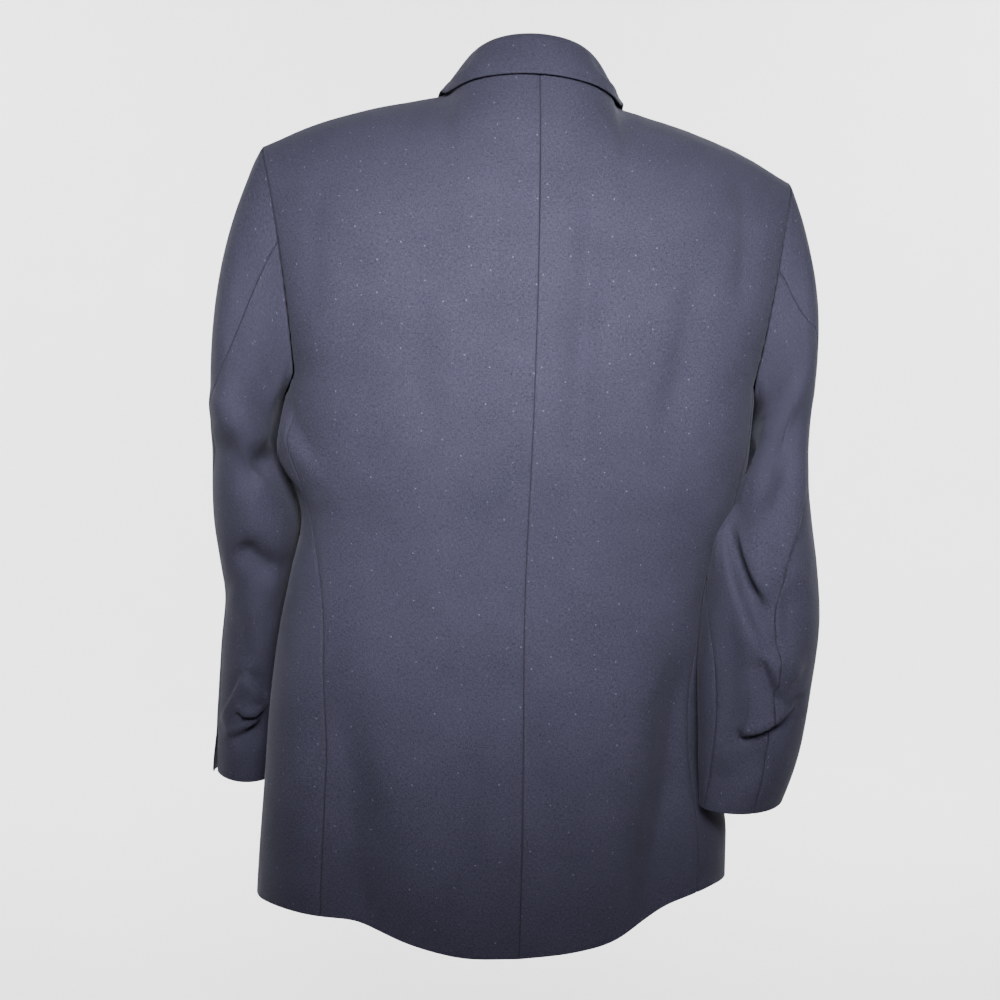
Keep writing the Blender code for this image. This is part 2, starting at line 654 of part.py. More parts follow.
def wall(name, points, normals):
    """A closed wall of cloth round a grid of middle points."""
    rows, columns = points.shape[:2]
    outer = points + normals * (0.5 * CLOTH)
    inner = points - normals * (0.5 * CLOTH)
    vertices = np.concatenate((outer.reshape(-1, 3), inner.reshape(-1, 3)))
    back = rows * columns
    faces = []
    for i in range(rows - 1):
        for j in range(columns - 1):
            a = i * columns + j
            b = a + 1
            c = b + columns
            d = a + columns
            for one, two, three in ((a, b, c), (a, c, d)):
                faces.append((one, two, three))
                faces.append((back + three, back + two, back + one))
    rim = list(range(columns))
    rim += [i * columns + columns - 1 for i in range(1, rows)]
    rim += [(rows - 1) * columns + j for j in range(columns - 2, -1, -1)]
    rim += [i * columns for i in range(rows - 2, 0, -1)]
    for here, there in zip(rim, rim[1:] + rim[:1]):
        faces.append((here, back + here, back + there, there))
    corner, along, across = (vertices[index] for index in faces[0])
    if np.dot(np.cross(along - corner, across - corner), normals[0, 0]) < 0.0:
        faces = [tuple(reversed(face)) for face in faces]
    return make_object(name, vertices, faces, CLOTH_FINISH)


def mirrored(points, side):
    """The same points on the wearer's left (+1) or right (-1)."""
    return points * np.array((float(side), 1.0, 1.0))


def pose_turn(heights):
    """How far round, and how far aside, the body is posed at each height."""
    share = np.clip((POSE_TOP - heights) / (POSE_TOP - POSE_BOTTOM), 0.0, 1.0)
    share = share * share * (3.0 - 2.0 * share)
    return HEM_TWIST * share, HEM_DRIFT * share


def posed(points):
    """Points of the even form, turned and tilted into the pose."""
    turn, drift = pose_turn(points[..., 2])
    x = points[..., 0] * np.cos(turn) - points[..., 1] * np.sin(turn) + drift
    y = points[..., 0] * np.sin(turn) + points[..., 1] * np.cos(turn)
    near_top = np.clip((points[..., 2] - RING_TOP) / (SHOULDER_TIP[2] - RING_TOP), 0.0, 1.0)
    return np.stack((x, y, points[..., 2] + SHOULDER_TILT * points[..., 0] * near_top), axis=-1)


def turned(normals, heights):
    """Normals of the even form, turned with the pose."""
    turn = pose_turn(heights)[0]
    x = normals[..., 0] * np.cos(turn) - normals[..., 1] * np.sin(turn)
    y = normals[..., 0] * np.sin(turn) + normals[..., 1] * np.cos(turn)
    return np.stack((x, y, normals[..., 2]), axis=-1)


def body_half(side):
    """The folded grids and normals of one half of the body."""
    grids, places = half_body(side, BODY_ROWS_LOW, BODY_ROWS_HIGH, BACK_SPANS, SIDE_SPANS, FRONT_SPANS)
    normals = shared_normals(grids, BODY_ROWS_LOW)
    folded = {}
    for name in grids:
        relief = body_relief(side, places[name], grids[name][..., 2])
        folded[name] = grids[name] + normals[name] * relief[..., None]
    front = folded["front"]
    lap = np.clip((LAP_REACH - np.abs(front[..., 0])) / LAP_FADE, 0.0, 1.0)
    low = np.clip((BREAK_HEIGHT + LAP_ABOVE_BREAK - front[..., 2]) / (0.5 * LAP_ABOVE_BREAK), 0.0, 1.0)
    folded["front"] = front + normals["front"] * (side * LAP_SHIFT * lap * low)[..., None]
    heights = {name: points[..., 2] for name, points in folded.items()}
    return (
        {name: posed(mirrored(points, side)) for name, points in folded.items()},
        {name: turned(mirrored(values, side), heights[name]) for name, values in normals.items()},
    )


def armhole(folded, normals):
    """Where the sleeve starts: a closed ring just off the armhole's edge.

    It runs from the shoulder's tip down the back, under the arm and up the front.
    """
    high = slice(BODY_ROWS_LOW, None)
    back = folded["back"][high, -1][::-1]
    under = folded["side"][-1][1:-1]
    front = folded["front"][high, 0][:-1]
    straight_on = np.concatenate((
        unit(folded["back"][high, -1] - folded["back"][high, -2])[::-1],
        unit(folded["side"][-1] - folded["side"][-2])[1:-1],
        unit(folded["front"][high, 0] - folded["front"][high, 1])[:-1],
    ))
    outward = np.concatenate((
        normals["back"][high, -1][::-1],
        normals["side"][-1][1:-1],
        normals["front"][high, 0][:-1],
    ))
    ring = np.concatenate((back, under, front))
    turn = 2.0 * math.pi * np.linspace(0.0, 1.0, len(ring), endpoint=False)
    turned_back = (0.5 - 0.5 * np.cos(turn))[:, None]
    ring = ring + ARMHOLE_GAP * (1.0 - turned_back ** 2) * straight_on + UNDERARM_GAP * turned_back * outward
    closed = np.concatenate((ring, ring[:1]))
    along = np.concatenate(([0.0], np.cumsum(np.linalg.norm(np.diff(closed, axis=0), axis=1))))
    return closed, along


def sleeve_section(side, height, turn):
    """Points of the sleeve's oval at a height. turn is in radians from the outside, backwards."""
    table = LEFT_SLEEVE if side > 0 else RIGHT_SLEEVE
    size = {name: column(table, SLEEVE_COLUMNS, name, height) for name in SLEEVE_COLUMNS[1:]}
    lean = np.radians(size["turn"])
    out = size["half_thick"] * np.cos(turn)
    deep = size["half_deep"] * np.sin(turn)
    x = size["x"] + out * np.cos(lean) - deep * np.sin(lean)
    y = size["y"] + deep * np.cos(lean) + out * np.sin(lean)
    return np.stack((side * x, y, np.broadcast_to(height, np.shape(x))), axis=-1)


def sleeve_point(side, ring, along, turn, share):
    """A point of the sleeve's middle surface. share runs from the armhole (0) to the cuff (1)."""
    if share >= CAP_SHARE:
        down = (share - CAP_SHARE) / (1.0 - CAP_SHARE)
        return sleeve_section(side, SLEEVE_TOP + (CUFF_HEIGHT[side] - SLEEVE_TOP) * down, turn)
    place = (turn / (2.0 * math.pi)) % 1.0 * along[-1]
    start = np.array([np.interp(place, along, ring[:, axis]) for axis in range(3)])
    end = sleeve_section(side, SLEEVE_TOP, turn)
    below = sleeve_section(side, SLEEVE_TOP - 0.01, turn)
    length = np.linalg.norm(end - start)
    level = abs(math.sin(turn))
    leave = (1.0 - level) * np.array(SLEEVE_LEAVE[side]) + level * np.array(SLEEVE_LEAVE_SIDE)
    leave = unit(leave * (side, math.copysign(1.0, math.sin(turn)), 1.0))
    arrive = unit(below - end)
    t = share / CAP_SHARE
    ends = (1 + 2 * t) * (1 - t) ** 2 * start + t * t * (3 - 2 * t) * end
    return ends + length * (t * (1 - t) ** 2 * leave + t * t * (t - 1) * arrive)


def sleeve_relief(side, turns, heights):
    """Outward relief of the sleeve's folds."""
    table = LEFT_SLEEVE_FOLDS if side > 0 else RIGHT_SLEEVE_FOLDS
    names = ("kind", "along_a", "height_a", "along_b", "height_b", "depth", "half_width")
    relief = np.zeros_like(turns)
    for fold in table:
        row = dict(zip(names, fold))
        scaled = dict(row)
        scaled["along_a"] = math.radians(row["along_a"]) * SLEEVE_ROUND
        scaled["along_b"] = math.radians(row["along_b"]) * SLEEVE_ROUND
        values = tuple(scaled[name] for name in names)
        felt = stroke(turns * SLEEVE_ROUND, heights, values, names)
        if row["kind"] == "step":
            start = np.array((scaled["along_a"], row["height_a"]))
            run = unit(np.array((scaled["along_b"], row["height_b"])) - start)
            above = (turns * SLEEVE_ROUND - start[0]) * run[1] - (heights - start[1]) * run[0]
            felt = felt * np.tanh(-above / (STEP_SHARE * row["half_width"]))
        relief += row["depth"] * felt
    return relief


def sleeve_grids(side, ring, along, panels):
    """Grids and normals of the top sleeve and the under sleeve, which share their seams."""
    seams = LEFT_SLEEVE_SEAMS if side > 0 else RIGHT_SLEEVE_SEAMS
    grids = {}
    for part, spans in (("top", TOP_SLEEVE_SPANS), ("under", UNDER_SLEEVE_SPANS)):
        points = np.zeros((SLEEVE_ROWS + 1, spans + 3, 3))
        turns = np.zeros((SLEEVE_ROWS + 1, spans + 3))
        shares = np.linspace(0.0, 1.0, SLEEVE_ROWS + 1)
        for i, share in enumerate(shares):
            hind = math.radians(float(column(seams, SLEEVE_SEAM_COLUMNS, "hind", share)))
            fore = math.radians(float(column(seams, SLEEVE_SEAM_COLUMNS, "fore", share)))
            first, last = (fore - 2.0 * math.pi, hind) if part == "top" else (hind, fore)
            for j in range(-1, spans + 2):
                turn = first + (last - first) * j / spans
                points[i, j + 1] = sleeve_point(side, ring, along, turn, share)
                turns[i, j + 1] = turn % (2.0 * math.pi)
        outward = (side * 1.0, 0.0, 0.1) if part == "top" else (0.0, 1.0, 0.0)
        relief = sleeve_relief(side, turns, points[..., 2])
        points = points + grid_normals(points, outward) * relief[..., None]
        points = clear_of_body(points, panels, shares)
        grids[part] = (points[:, 1:-1], grid_normals(points, outward)[:, 1:-1])
    for top, under, even in zip(grids["top"], grids["under"], (False, True)):
        for here, there in ((-1, 0), (0, -1)):
            shared = 0.5 * (top[:, here] + under[:, there])
            shared = unit(shared) if even else shared
            top[:, here] = shared
            under[:, there] = shared
    return grids


def clear_of_body(points, panels, shares):
    """Moves a sleeve's points out to their least distance from the body, less so at the armhole."""
    trees = [surface_tree(grid) for grid, _ in panels]
    run = np.minimum(1.0, shares / CLEAR_FROM_SHARE)[:, None]
    felt = np.clip(np.minimum(run, (CLEAR_BELOW - points[..., 2]) / CLEAR_RUN), 0.0, 1.0)
    pushed = np.zeros_like(points)
    for last in (False, False, True):
        for i, j in np.argwhere(felt > 0.0):
            spot = points[i, j] + pushed[i, j]
            place, facing = nearest_on(trees, panels, spot)
            short = SLEEVE_CLEAR * felt[i, j] - np.dot(spot - place, facing)
            pushed[i, j] += facing * max(short, 0.0)
        if not last:
            pushed = softened(pushed) * np.minimum(1.0, 4.0 * felt)[..., None]
    return points + pushed


def softened(values):
    """A grid of vectors, each averaged with its neighbours."""
    wide = np.pad(values, ((1, 1), (1, 1), (0, 0)), mode="edge")
    beside = wide[:-2, 1:-1] + wide[2:, 1:-1] + wide[1:-1, :-2] + wide[1:-1, 2:]
    return 0.5 * values + 0.125 * beside


def read_grid(points, rows, columns):
    """Reads a grid between its points, at fractional rows and columns."""
    i = np.clip(np.floor(rows).astype(int), 0, points.shape[0] - 2)
    j = np.clip(np.floor(columns).astype(int), 0, points.shape[1] - 2)
    u = (rows - i)[..., None]
    v = (columns - j)[..., None]
    low = (1 - v) * points[i, j] + v * points[i, j + 1]
    high = (1 - v) * points[i + 1, j] + v * points[i + 1, j + 1]
    return (1 - u) * low + u * high


def button(name, centre, normal):
    """A sewn-on button: a dished disc with a raised rim."""
    normal = unit(np.asarray(normal, float))
    across = unit(np.cross(normal, (0.0, 0.0, 1.0)))
    up = np.cross(across, normal)
    vertices = [centre]
    for reach, rise in BUTTON_PROFILE[1:-1]:
        for k in range(BUTTON_SIDES):
            turn = 2.0 * math.pi * k / BUTTON_SIDES
            spoke = math.cos(turn) * across + math.sin(turn) * up
            vertices.append(centre + BUTTON_RADIUS * reach * spoke + BUTTON_THICK * rise * normal)
    vertices.append(centre + BUTTON_THICK * BUTTON_PROFILE[-1][1] * normal)
    rings = len(BUTTON_PROFILE) - 2
    top = len(vertices) - 1
    faces = []
    for k in range(BUTTON_SIDES):
        after = (k + 1) % BUTTON_SIDES
        faces.append((0, 1 + after, 1 + k))
        for r in range(rings - 1):
            low = 1 + r * BUTTON_SIDES
            high = low + BUTTON_SIDES
            faces.append((low + k, low + after, high + after, high + k))
        last = 1 + (rings - 1) * BUTTON_SIDES
        faces.append((last + k, last + after, top))
    corner, first, second = (vertices[index] for index in faces[1][:3])
    if np.dot(np.cross(first - corner, second - corner), 0.5 * (corner + first) - centre) < 0.0:
        faces = [tuple(reversed(face)) for face in faces]
    return make_object(name, vertices, faces, BUTTON_FINISH)


def row_at_height(points, height):
    """The fractional row of a grid whose last column is nearest a height."""
    return float(np.interp(height, points[:, -1, 2], np.arange(len(points))))


def column_from_edge(points, row, distance):
    """The fractional column at a distance from a grid's last column, measured along a row."""
    low = int(min(math.floor(row), len(points) - 2))
    line = (low + 1 - row) * points[low] + (row - low) * points[low + 1]
    line = line[::-1]
    along = np.concatenate(([0.0], np.cumsum(np.linalg.norm(np.diff(line, axis=0), axis=1))))
    return len(line) - 1 - float(np.interp(distance, along, np.arange(len(line))))


def lapel(side, word, front, facing):
    """The turned-out lapel: the front's own points beside the roll line, moved out."""
    first = row_at_height(front, LAPEL_START[side])
    last = row_at_height(front, LAPEL_TOP)
    slant = last - row_at_height(front, LAPEL_TOP - LAPEL_TOP_SLANT)
    rows = np.zeros((LAPEL_ROWS + 1, LAPEL_SPANS + 1))
    columns = np.zeros_like(rows)
    lift = np.zeros_like(rows)
    for i in range(LAPEL_ROWS + 1):
        share = i / LAPEL_ROWS
        width = float(column(LAPEL, LAPEL_COLUMNS, "width", share))
        for j in range(LAPEL_SPANS + 1):
            across = j / LAPEL_SPANS
            rows[i, j] = first + (last - first) * share - slant * across * share ** LAPEL_SLANT_POWER
            columns[i, j] = column_from_edge(front, rows[i, j], LAPEL_INSET + width * across)
            swell = math.sin(math.pi * across) * math.sin(math.pi * min(1.0, share + LAPEL_SWELL_FROM))
            lift[i, j] = LAID_ON + LIFT * min(1.0, 3.0 * across) + LAPEL_BELLY * swell
    points = read_grid(front, rows, columns)
    normals = unit(read_grid(facing, rows, columns))
    wall(f"lapel_{word}", points + normals * lift[..., None], normals)


def neck_path(share, side, front):
    """The neck's edge from the centre back (0) to the collar's front end (1)."""
    if share <= COLLAR_SIDE:
        return posed(mirrored(neck_point(share / COLLAR_SIDE), side))
    run = (share - COLLAR_SIDE) / (1.0 - COLLAR_SIDE)
    height = front[-1, -1, 2] + (COLLAR_END_HEIGHT - front[-1, -1, 2]) * run
    row = row_at_height(front, height)
    return read_grid(front, np.array(row), np.array(float(front.shape[1] - 1)))


def collar(halves):
    """Stand and fall in one wall, turned over at the top, all round the neck."""
    panels = [(grids[name], normals[name]) for grids, normals in halves.values() for name in ("back", "front")]
    trees = [surface_tree(points) for points, _ in panels]
    stations = np.linspace(-1.0, 1.0, COLLAR_STATIONS)
    seam = []
    for station in stations:
        side = 1 if station >= 0.0 else -1
        seam.append(neck_path(abs(station), side, halves[side][0]["front"]))
    seam = np.array(seam)
    up = np.array((0.0, 0.0, 1.0))
    outward = unit(np.cross(up, unit(np.gradient(seam, axis=0))))
    if outward[len(stations) // 2, 1] < 0.0:
        outward = -outward
    sections = []
    for station, foot, out in zip(stations, seam, outward):
        at = abs(station)
        size = {name: float(column(COLLAR, COLLAR_COLUMNS, name, at)) for name in COLLAR_COLUMNS[1:]}
        foot = foot + up * COLLAR_FOOT_UP - out * COLLAR_FOOT_IN
        stand = up * size["stand"] - out * size["lean"]
        lean = stand / np.linalg.norm(stand)
        aside = out * lean[2] - up * np.dot(lean, out)
        section = [foot, foot + 0.5 * stand - aside * COLLAR_HOLLOW]
        for turn in COLLAR_TURNS:
            across = 1.0 - math.cos(math.radians(turn))
            over = math.sin(math.radians(turn))
            section.append(foot + stand + COLLAR_FOLD * (aside * across + lean * over))
        fold = section[-1]
        edge = foot + out * size["out"] - up * size["down"]
        near_shoulder = max(0.0, 1.0 - abs(at - COLLAR_SIDE) / COLLAR_OVER_RUN)
        for share in FALL_SHARES:
            swell = COLLAR_BELLY * math.sin(math.pi * share)
            target = fold + (edge - fold) * share + (out + 0.4 * up) * swell
            place, facing = nearest_on(trees, panels, target)
            if share == 1.0 or np.dot(target - place, facing) < COLLAR_ON:
                target = place + facing * COLLAR_ON + up * (COLLAR_OVER * near_shoulder)
            section.append(target)
        sections.append(section)
    points = np.array(sections)
    normals = grid_normals(points, outward[len(stations) // 2] * 0.3 + up)
    return wall("collar", points, normals)


def surface_tree(points):
    """A search tree over a grid's middle surface."""
    rows, columns = points.shape[:2]
    corners = [Vector(tuple(float(value) for value in point)) for point in points.reshape(-1, 3)]
    faces = []
    for i in range(rows - 1):
        for j in range(columns - 1):
            a = i * columns + j
            faces.append((a, a + 1, a + columns + 1))
            faces.append((a, a + columns + 1, a + columns))
    return BVHTree.FromPolygons(corners, faces, all_triangles=True)


def nearest_on(trees, panels, target):
    """The nearest point of the panels to a target, and which way the panel faces there."""
    best = None
    for tree, (points, normals) in zip(trees, panels):
        place, facing, _, distance = tree.find_nearest(Vector(tuple(float(value) for value in target)))
        if best is None or distance < best[0]:
            near = np.linalg.norm(points - np.array(place), axis=-1)
            i, j = np.unravel_index(int(np.argmin(near)), near.shape)
            best = (distance, np.array(place), np.array(facing), normals[i, j])
    place, facing, outward = best[1:]
    if np.dot(facing, outward) < 0.0:
        facing = -facing
    return place, unit(facing + outward)


def front_button(name, height, front, facing):
    """A button on the centre front, at a height."""
    past = float(column(FRONT_EDGE, EDGE_COLUMNS, "past_centre", height))
    row = row_at_height(front, height)
    across = np.array(column_from_edge(front, row, past))
    place = read_grid(front, np.array(row), across)
    normal = unit(read_grid(facing, np.array(row), across))
    button(f"button_{name}", place + normal * (0.5 * CLOTH + BUTTON_STANDS), normal)


def main():
    for item in list(bpy.data.objects):
        bpy.data.objects.remove(item, do_unlink=True)
    halves = {side: body_half(side) for side in (1, -1)}
    half_gap = 0.5 * SEAM_GAP
    for side, (folded, normals) in halves.items():
        word = "left" if side > 0 else "right"
        back = inset(folded["back"], ("first_column", "last_column", "last_row"), half_gap)
        wall(f"back_{word}", back, normals["back"])
        panel = inset(folded["side"], ("first_column", "last_column"), half_gap)
        wall(f"side_{word}", panel, normals["side"])
        front = inset(folded["front"], ("first_column", "last_row"), half_gap)
        wall(f"front_{word}", front, normals["front"])
        ring, along = armhole(folded, normals)
        panels = [(folded[name], normals[name]) for name in ("back", "side", "front")]
        for part, (points, facing) in sleeve_grids(side, ring, along, panels).items():
            points = inset(points, ("first_column", "last_column"), half_gap)
            wall(f"sleeve_{part}_{word}", points, facing)
        lapel(side, word, folded["front"], normals["front"])
    collar(halves)
    for name, height in FRONT_BUTTON_HEIGHTS.items():
        front_button(name, height, halves[1][0]["front"], halves[1][1]["front"])


main()
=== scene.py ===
"""A tailored navy blazer, filled out as when it is worn, seen from behind as in the photo.

Laid out as an add-on and run as a script. Metres, +Z up. The front faces -Y and +X is the wearer's
left. Each panel's wall follows the form of its solid: a smooth net of points is worked out as a
tailor would lay out the cut, refined, and then given its folds, creases, seams and rolled edges.
"""

import math

import bpy
import numpy as np
from bpy.props import FloatProperty, PointerProperty, StringProperty
from mathutils import Matrix, Vector
from mathutils.bvhtree import BVHTree


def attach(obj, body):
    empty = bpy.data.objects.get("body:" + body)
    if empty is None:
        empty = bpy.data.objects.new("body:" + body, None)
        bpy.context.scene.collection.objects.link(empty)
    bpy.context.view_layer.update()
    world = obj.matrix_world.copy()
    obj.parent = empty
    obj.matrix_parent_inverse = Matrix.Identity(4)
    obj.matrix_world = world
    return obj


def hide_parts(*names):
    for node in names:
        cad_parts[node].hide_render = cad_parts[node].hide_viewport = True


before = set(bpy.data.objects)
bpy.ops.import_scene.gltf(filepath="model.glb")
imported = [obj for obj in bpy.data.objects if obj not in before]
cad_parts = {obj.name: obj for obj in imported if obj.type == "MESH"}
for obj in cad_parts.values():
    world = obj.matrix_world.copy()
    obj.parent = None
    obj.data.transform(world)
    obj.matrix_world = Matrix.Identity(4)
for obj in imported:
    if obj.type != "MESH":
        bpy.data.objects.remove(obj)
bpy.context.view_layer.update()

bl_info = {
    "name": "Tailored blazer",
    "version": (1, 0, 0),
    "blender": (4, 5, 0),
    "location": "View3D > Sidebar > Blazer",
    "description": "Builds a navy wool blazer and the stage that it is seen on",
    "category": "Object",
}

# Cloth and seams
CLOTH = 0.0016                # cloth with its backing and lining
ARMHOLE_GAP = 0.0009          # from an armhole's edge straight on to the sleeve's middle line
UNDERARM_GAP = 0.0026         # from the same edge outwards, where the sleeve turns back down
LAID_ON = CLOTH + 0.0007      # middle line to middle line, for cloth that lies on cloth
LIFT = 0.0009                 # what lies on a panel stands this much higher away from its own fold
SLEEVE_CLEAR = 0.0046         # least distance between a sleeve's middle line and the body's
LAP_SHIFT = 0.0013            # how far each front moves off the shared form where the two lap
LAP_ABOVE_BREAK = 0.060       # how far above the roll line's start that move has faded out
LAP_REACH = 0.050             # how far from the centre front it is felt
LAP_FADE = 0.030              # and over what width it fades

# Body
RING_TOP = -0.250             # height of the highest full ring, where the armholes begin
RING_STEPS = 160              # straight steps round half a ring
ARMHOLE_DIP = 0.027           # how far the side panel's top edge dips under the arm
ARMHOLE_DIP_POWER = 0.8       # below 1, the dip is broader than a plain arch
NECK_HALF_WIDTH = 0.073
NECK_BACK = (0.070, 0.021)    # depth and height of the neck seam at the centre back
NECK_SIDE = (0.003, 0.000)    # the same where the shoulder seam meets the neck
SHOULDER_TIP = (0.239, 0.004, -0.058)
BREAK_HEIGHT = -0.400         # where the lapel's roll line starts, at the upper button
BREAK_FROM_CENTRE = 0.004
EDGE_EASE = 0.030             # height over which the front edge eases on to the roll line

# Pose of the filled garment, as in the photo: the hem is turned and drifts to the wearer's left,
# and the wearer's left shoulder stands higher.
POSE_TOP = -0.200
POSE_BOTTOM = -0.746
HEM_TWIST = math.radians(6.5)
HEM_DRIFT = 0.0125
SHOULDER_TILT = 0.024         # rise per metre from the middle, at the shoulders

# Sizes of the level rings. back and front are depths from the ring's widest place, whose own
# depth is middle. The square columns bend the oval towards a box.
RING_COLUMNS = ("height", "half_width", "middle", "back", "front", "back_square", "front_square")
RINGS = (
    (-0.770, 0.2210, 0.008, 0.1265, 0.128, 2.55, 2.45),
    (-0.700, 0.2190, 0.008, 0.1265, 0.127, 2.55, 2.45),
    (-0.620, 0.2160, 0.008, 0.1230, 0.126, 2.50, 2.40),
    (-0.540, 0.2135, 0.007, 0.1150, 0.122, 2.45, 2.40),
    (-0.480, 0.2085, 0.006, 0.1060, 0.118, 2.40, 2.40),
    (-0.430, 0.2010, 0.006, 0.1010, 0.116, 2.40, 2.40),
    (-0.380, 0.1940, 0.006, 0.1040, 0.117, 2.45, 2.40),
    (-0.330, 0.2090, 0.006, 0.1120, 0.121, 2.50, 2.40),
    (-0.290, 0.2105, 0.006, 0.1180, 0.123, 2.55, 2.40),
    (-0.250, 0.2110, 0.006, 0.1205, 0.123, 2.60, 2.40),
)

# Where the side panel's two seams lie, and the hem's height, on the rings
SEAM_COLUMNS = ("height", "back_seam_x", "front_seam_x")
SEAMS = (
    (-0.770, 0.170, 0.158),
    (-0.620, 0.170, 0.160),
    (-0.530, 0.170, 0.160),
    (-0.450, 0.172, 0.158),
    (-0.400, 0.180, 0.162),
    (-0.350, 0.191, 0.170),
    (-0.300, 0.201, 0.178),
    (-0.250, 0.203, 0.186),
)
HEM_COLUMNS = ("from_centre_back", "left", "right")
HEM = (
    (0.00, -0.746, -0.746),
    (0.05, -0.743, -0.743),
    (0.09, -0.733, -0.736),
    (0.12, -0.724, -0.7245),
    (0.15, -0.716, -0.7115),
    (0.19, -0.714, -0.705),
    (0.23, -0.716, -0.708),
    (0.28, -0.725, -0.720),
    (0.38, -0.746, -0.746),
    (0.50, -0.757, -0.757),
)

# Centre back above the rings, then the roll line of the lapel
CENTRE_BACK_COLUMNS = ("height", "depth")
CENTRE_BACK = (
    (-0.250, 0.1265),
    (-0.200, 0.1265),
    (-0.150, 0.1225),
    (-0.100, 0.1140),
    (-0.050, 0.1000),
    (-0.010, 0.0845),
    (0.021, 0.0700),
)
ROLL_COLUMNS = ("height", "depth")
ROLL_LINE = (
    (-0.250, -0.1150),
    (-0.200, -0.1120),
    (-0.150, -0.1020),
    (-0.100, -0.0840),
    (-0.050, -0.0530),
    (-0.020, -0.0260),
    (0.000, 0.0030),
)
ARMHOLE_COLUMNS = ("height", "x", "depth")
BACK_ARMHOLE = (
    (-0.250, 0.2030, 0.0560),
    (-0.200, 0.2090, 0.0670),
    (-0.150, 0.2170, 0.0630),
    (-0.110, 0.2250, 0.0510),
    (-0.080, 0.2325, 0.0340),
    (-0.064, 0.2375, 0.0170),
    (-0.058, 0.2390, 0.0040),
)
FRONT_ARMHOLE = (
    (-0.250, 0.1860, -0.0700),
    (-0.200, 0.1900, -0.0740),
    (-0.150, 0.2010, -0.0680),
    (-0.110, 0.2140, -0.0520),
    (-0.080, 0.2265, -0.0320),
    (-0.064, 0.2355, -0.0130),
    (-0.058, 0.2390, 0.0040),
)
SHOULDER_COLUMNS = ("x", "height")
SHOULDER = (
    (0.073, 0.0000),
    (0.108, -0.0090),
    (0.135, -0.0155),
    (0.161, -0.0235),
    (0.184, -0.0315),
    (0.205, -0.0405),
    (0.226, -0.0515),
    (0.239, -0.0580),
)
NECK_SHARE = 0.36             # share of the back's top edge that is neck
BACK_TOP_MIDDLE = np.array((0.105, 0.052, 0.010))  # pull of the plain curve above the shoulder blades
ROLL_OVER_POWER = 3.5         # how close to the shoulder seam the back turns over
BACK_FULLNESS = 0.006         # outward fullness over the shoulder blade
BACK_FULLNESS_PLACE = (1.6, 1.3)  # powers that set its place: above 1, up and out from the middle
FRONT_FULLNESS = 0.010        # the same over the chest
FRONT_FULLNESS_PLACE = (1.6, 0.8)
ROW_CROWDING = 1.35           # above 1, the rows over the armholes stand closer near the shoulder

# Front edge: how far it passes the centre, below the break
EDGE_COLUMNS = ("height", "past_centre")
FRONT_EDGE = (
    (-0.770, -0.085),
    (-0.745, -0.070),
    (-0.710, -0.038),
    (-0.660, -0.014),
    (-0.600, 0.004),
    (-0.540, 0.014),
    (-0.480, 0.019),
    (-0.430, 0.020),
    (-0.400, 0.012),
)

FOLD_FADE = 0.22              # share of a fold's length over which it fades in, and out past its end

# Folds of the body. along is the distance from the centre back round the ring, side is +1 on the
# wearer's left. A negative depth is a trough.
FOLD_COLUMNS = ("side", "along_a", "height_a", "along_b", "height_b", "depth", "half_width")
BODY_FOLDS = (
    (-1, 0.050, -0.060, 0.036, -0.360, -0.0045, 0.014),
    (-1, 0.150, -0.170, 0.120, -0.320, -0.0050, 0.020),
    (-1, 0.190, -0.060, 0.186, -0.170, -0.0025, 0.009),
    (1, 0.010, -0.060, 0.026, -0.240, -0.0030, 0.013),
    (1, 0.100, -0.110, 0.092, -0.300, -0.0035, 0.016),
    (1, 0.160, -0.540, 0.128, -0.760, -0.0100, 0.022),
    (-1, 0.156, -0.480, 0.118, -0.760, -0.0110, 0.024),
    (1, 0.245, -0.325, 0.220, -0.300, 0.0100, 0.026),
    (-1, 0.225, -0.400, 0.225, -0.620, -0.0240, 0.040),
)

# Sleeve sections below the armhole: height, centre, half thickness from body outwards, half
# depth from front to back, and the turn of the oval about its centre in degrees.
SLEEVE_COLUMNS = ("height", "x", "y", "half_thick", "half_deep", "turn")
LEFT_SLEEVE = (
    (-0.660, 0.2525, -0.0900, 0.0310, 0.0570, 4.0),
    (-0.580, 0.2475, -0.0800, 0.0340, 0.0620, 4.0),
    (-0.520, 0.2410, -0.0650, 0.0360, 0.0660, 4.0),
    (-0.465, 0.2345, -0.0460, 0.0380, 0.0700, 3.0),
    (-0.430, 0.2340, -0.0330, 0.0405, 0.0720, 2.0),
    (-0.390, 0.2370, -0.0200, 0.0415, 0.0750, 0.0),
    (-0.330, 0.2465, -0.0040, 0.0325, 0.0780, 0.0),
)
RIGHT_SLEEVE = (
    (-0.660, 0.1990, 0.0480, 0.0385, 0.0520, 24.0),
    (-0.580, 0.2125, 0.0560, 0.0470, 0.0580, 26.0),
    (-0.520, 0.2170, 0.0590, 0.0490, 0.0620, 26.0),
    (-0.455, 0.2245, 0.0540, 0.0475, 0.0660, 24.0),
    (-0.410, 0.2280, 0.0390, 0.0440, 0.0700, 16.0),
    (-0.370, 0.2280, 0.0230, 0.0410, 0.0740, 8.0),
    (-0.330, 0.2290, 0.0100, 0.0360, 0.0780, 3.0),
)
SLEEVE_TOP = -0.330           # height of the highest sleeve section
CUFF_HEIGHT = {1: -0.643, -1: -0.626}
SLEEVE_LEAVE = {1: (0.39, 0.00, -0.91), -1: (0.34, 0.00, -0.93)}  # heading at the armhole's top and bottom
SLEEVE_LEAVE_SIDE = (0.76, 0.36, -0.54)  # the same at the armhole's back and front

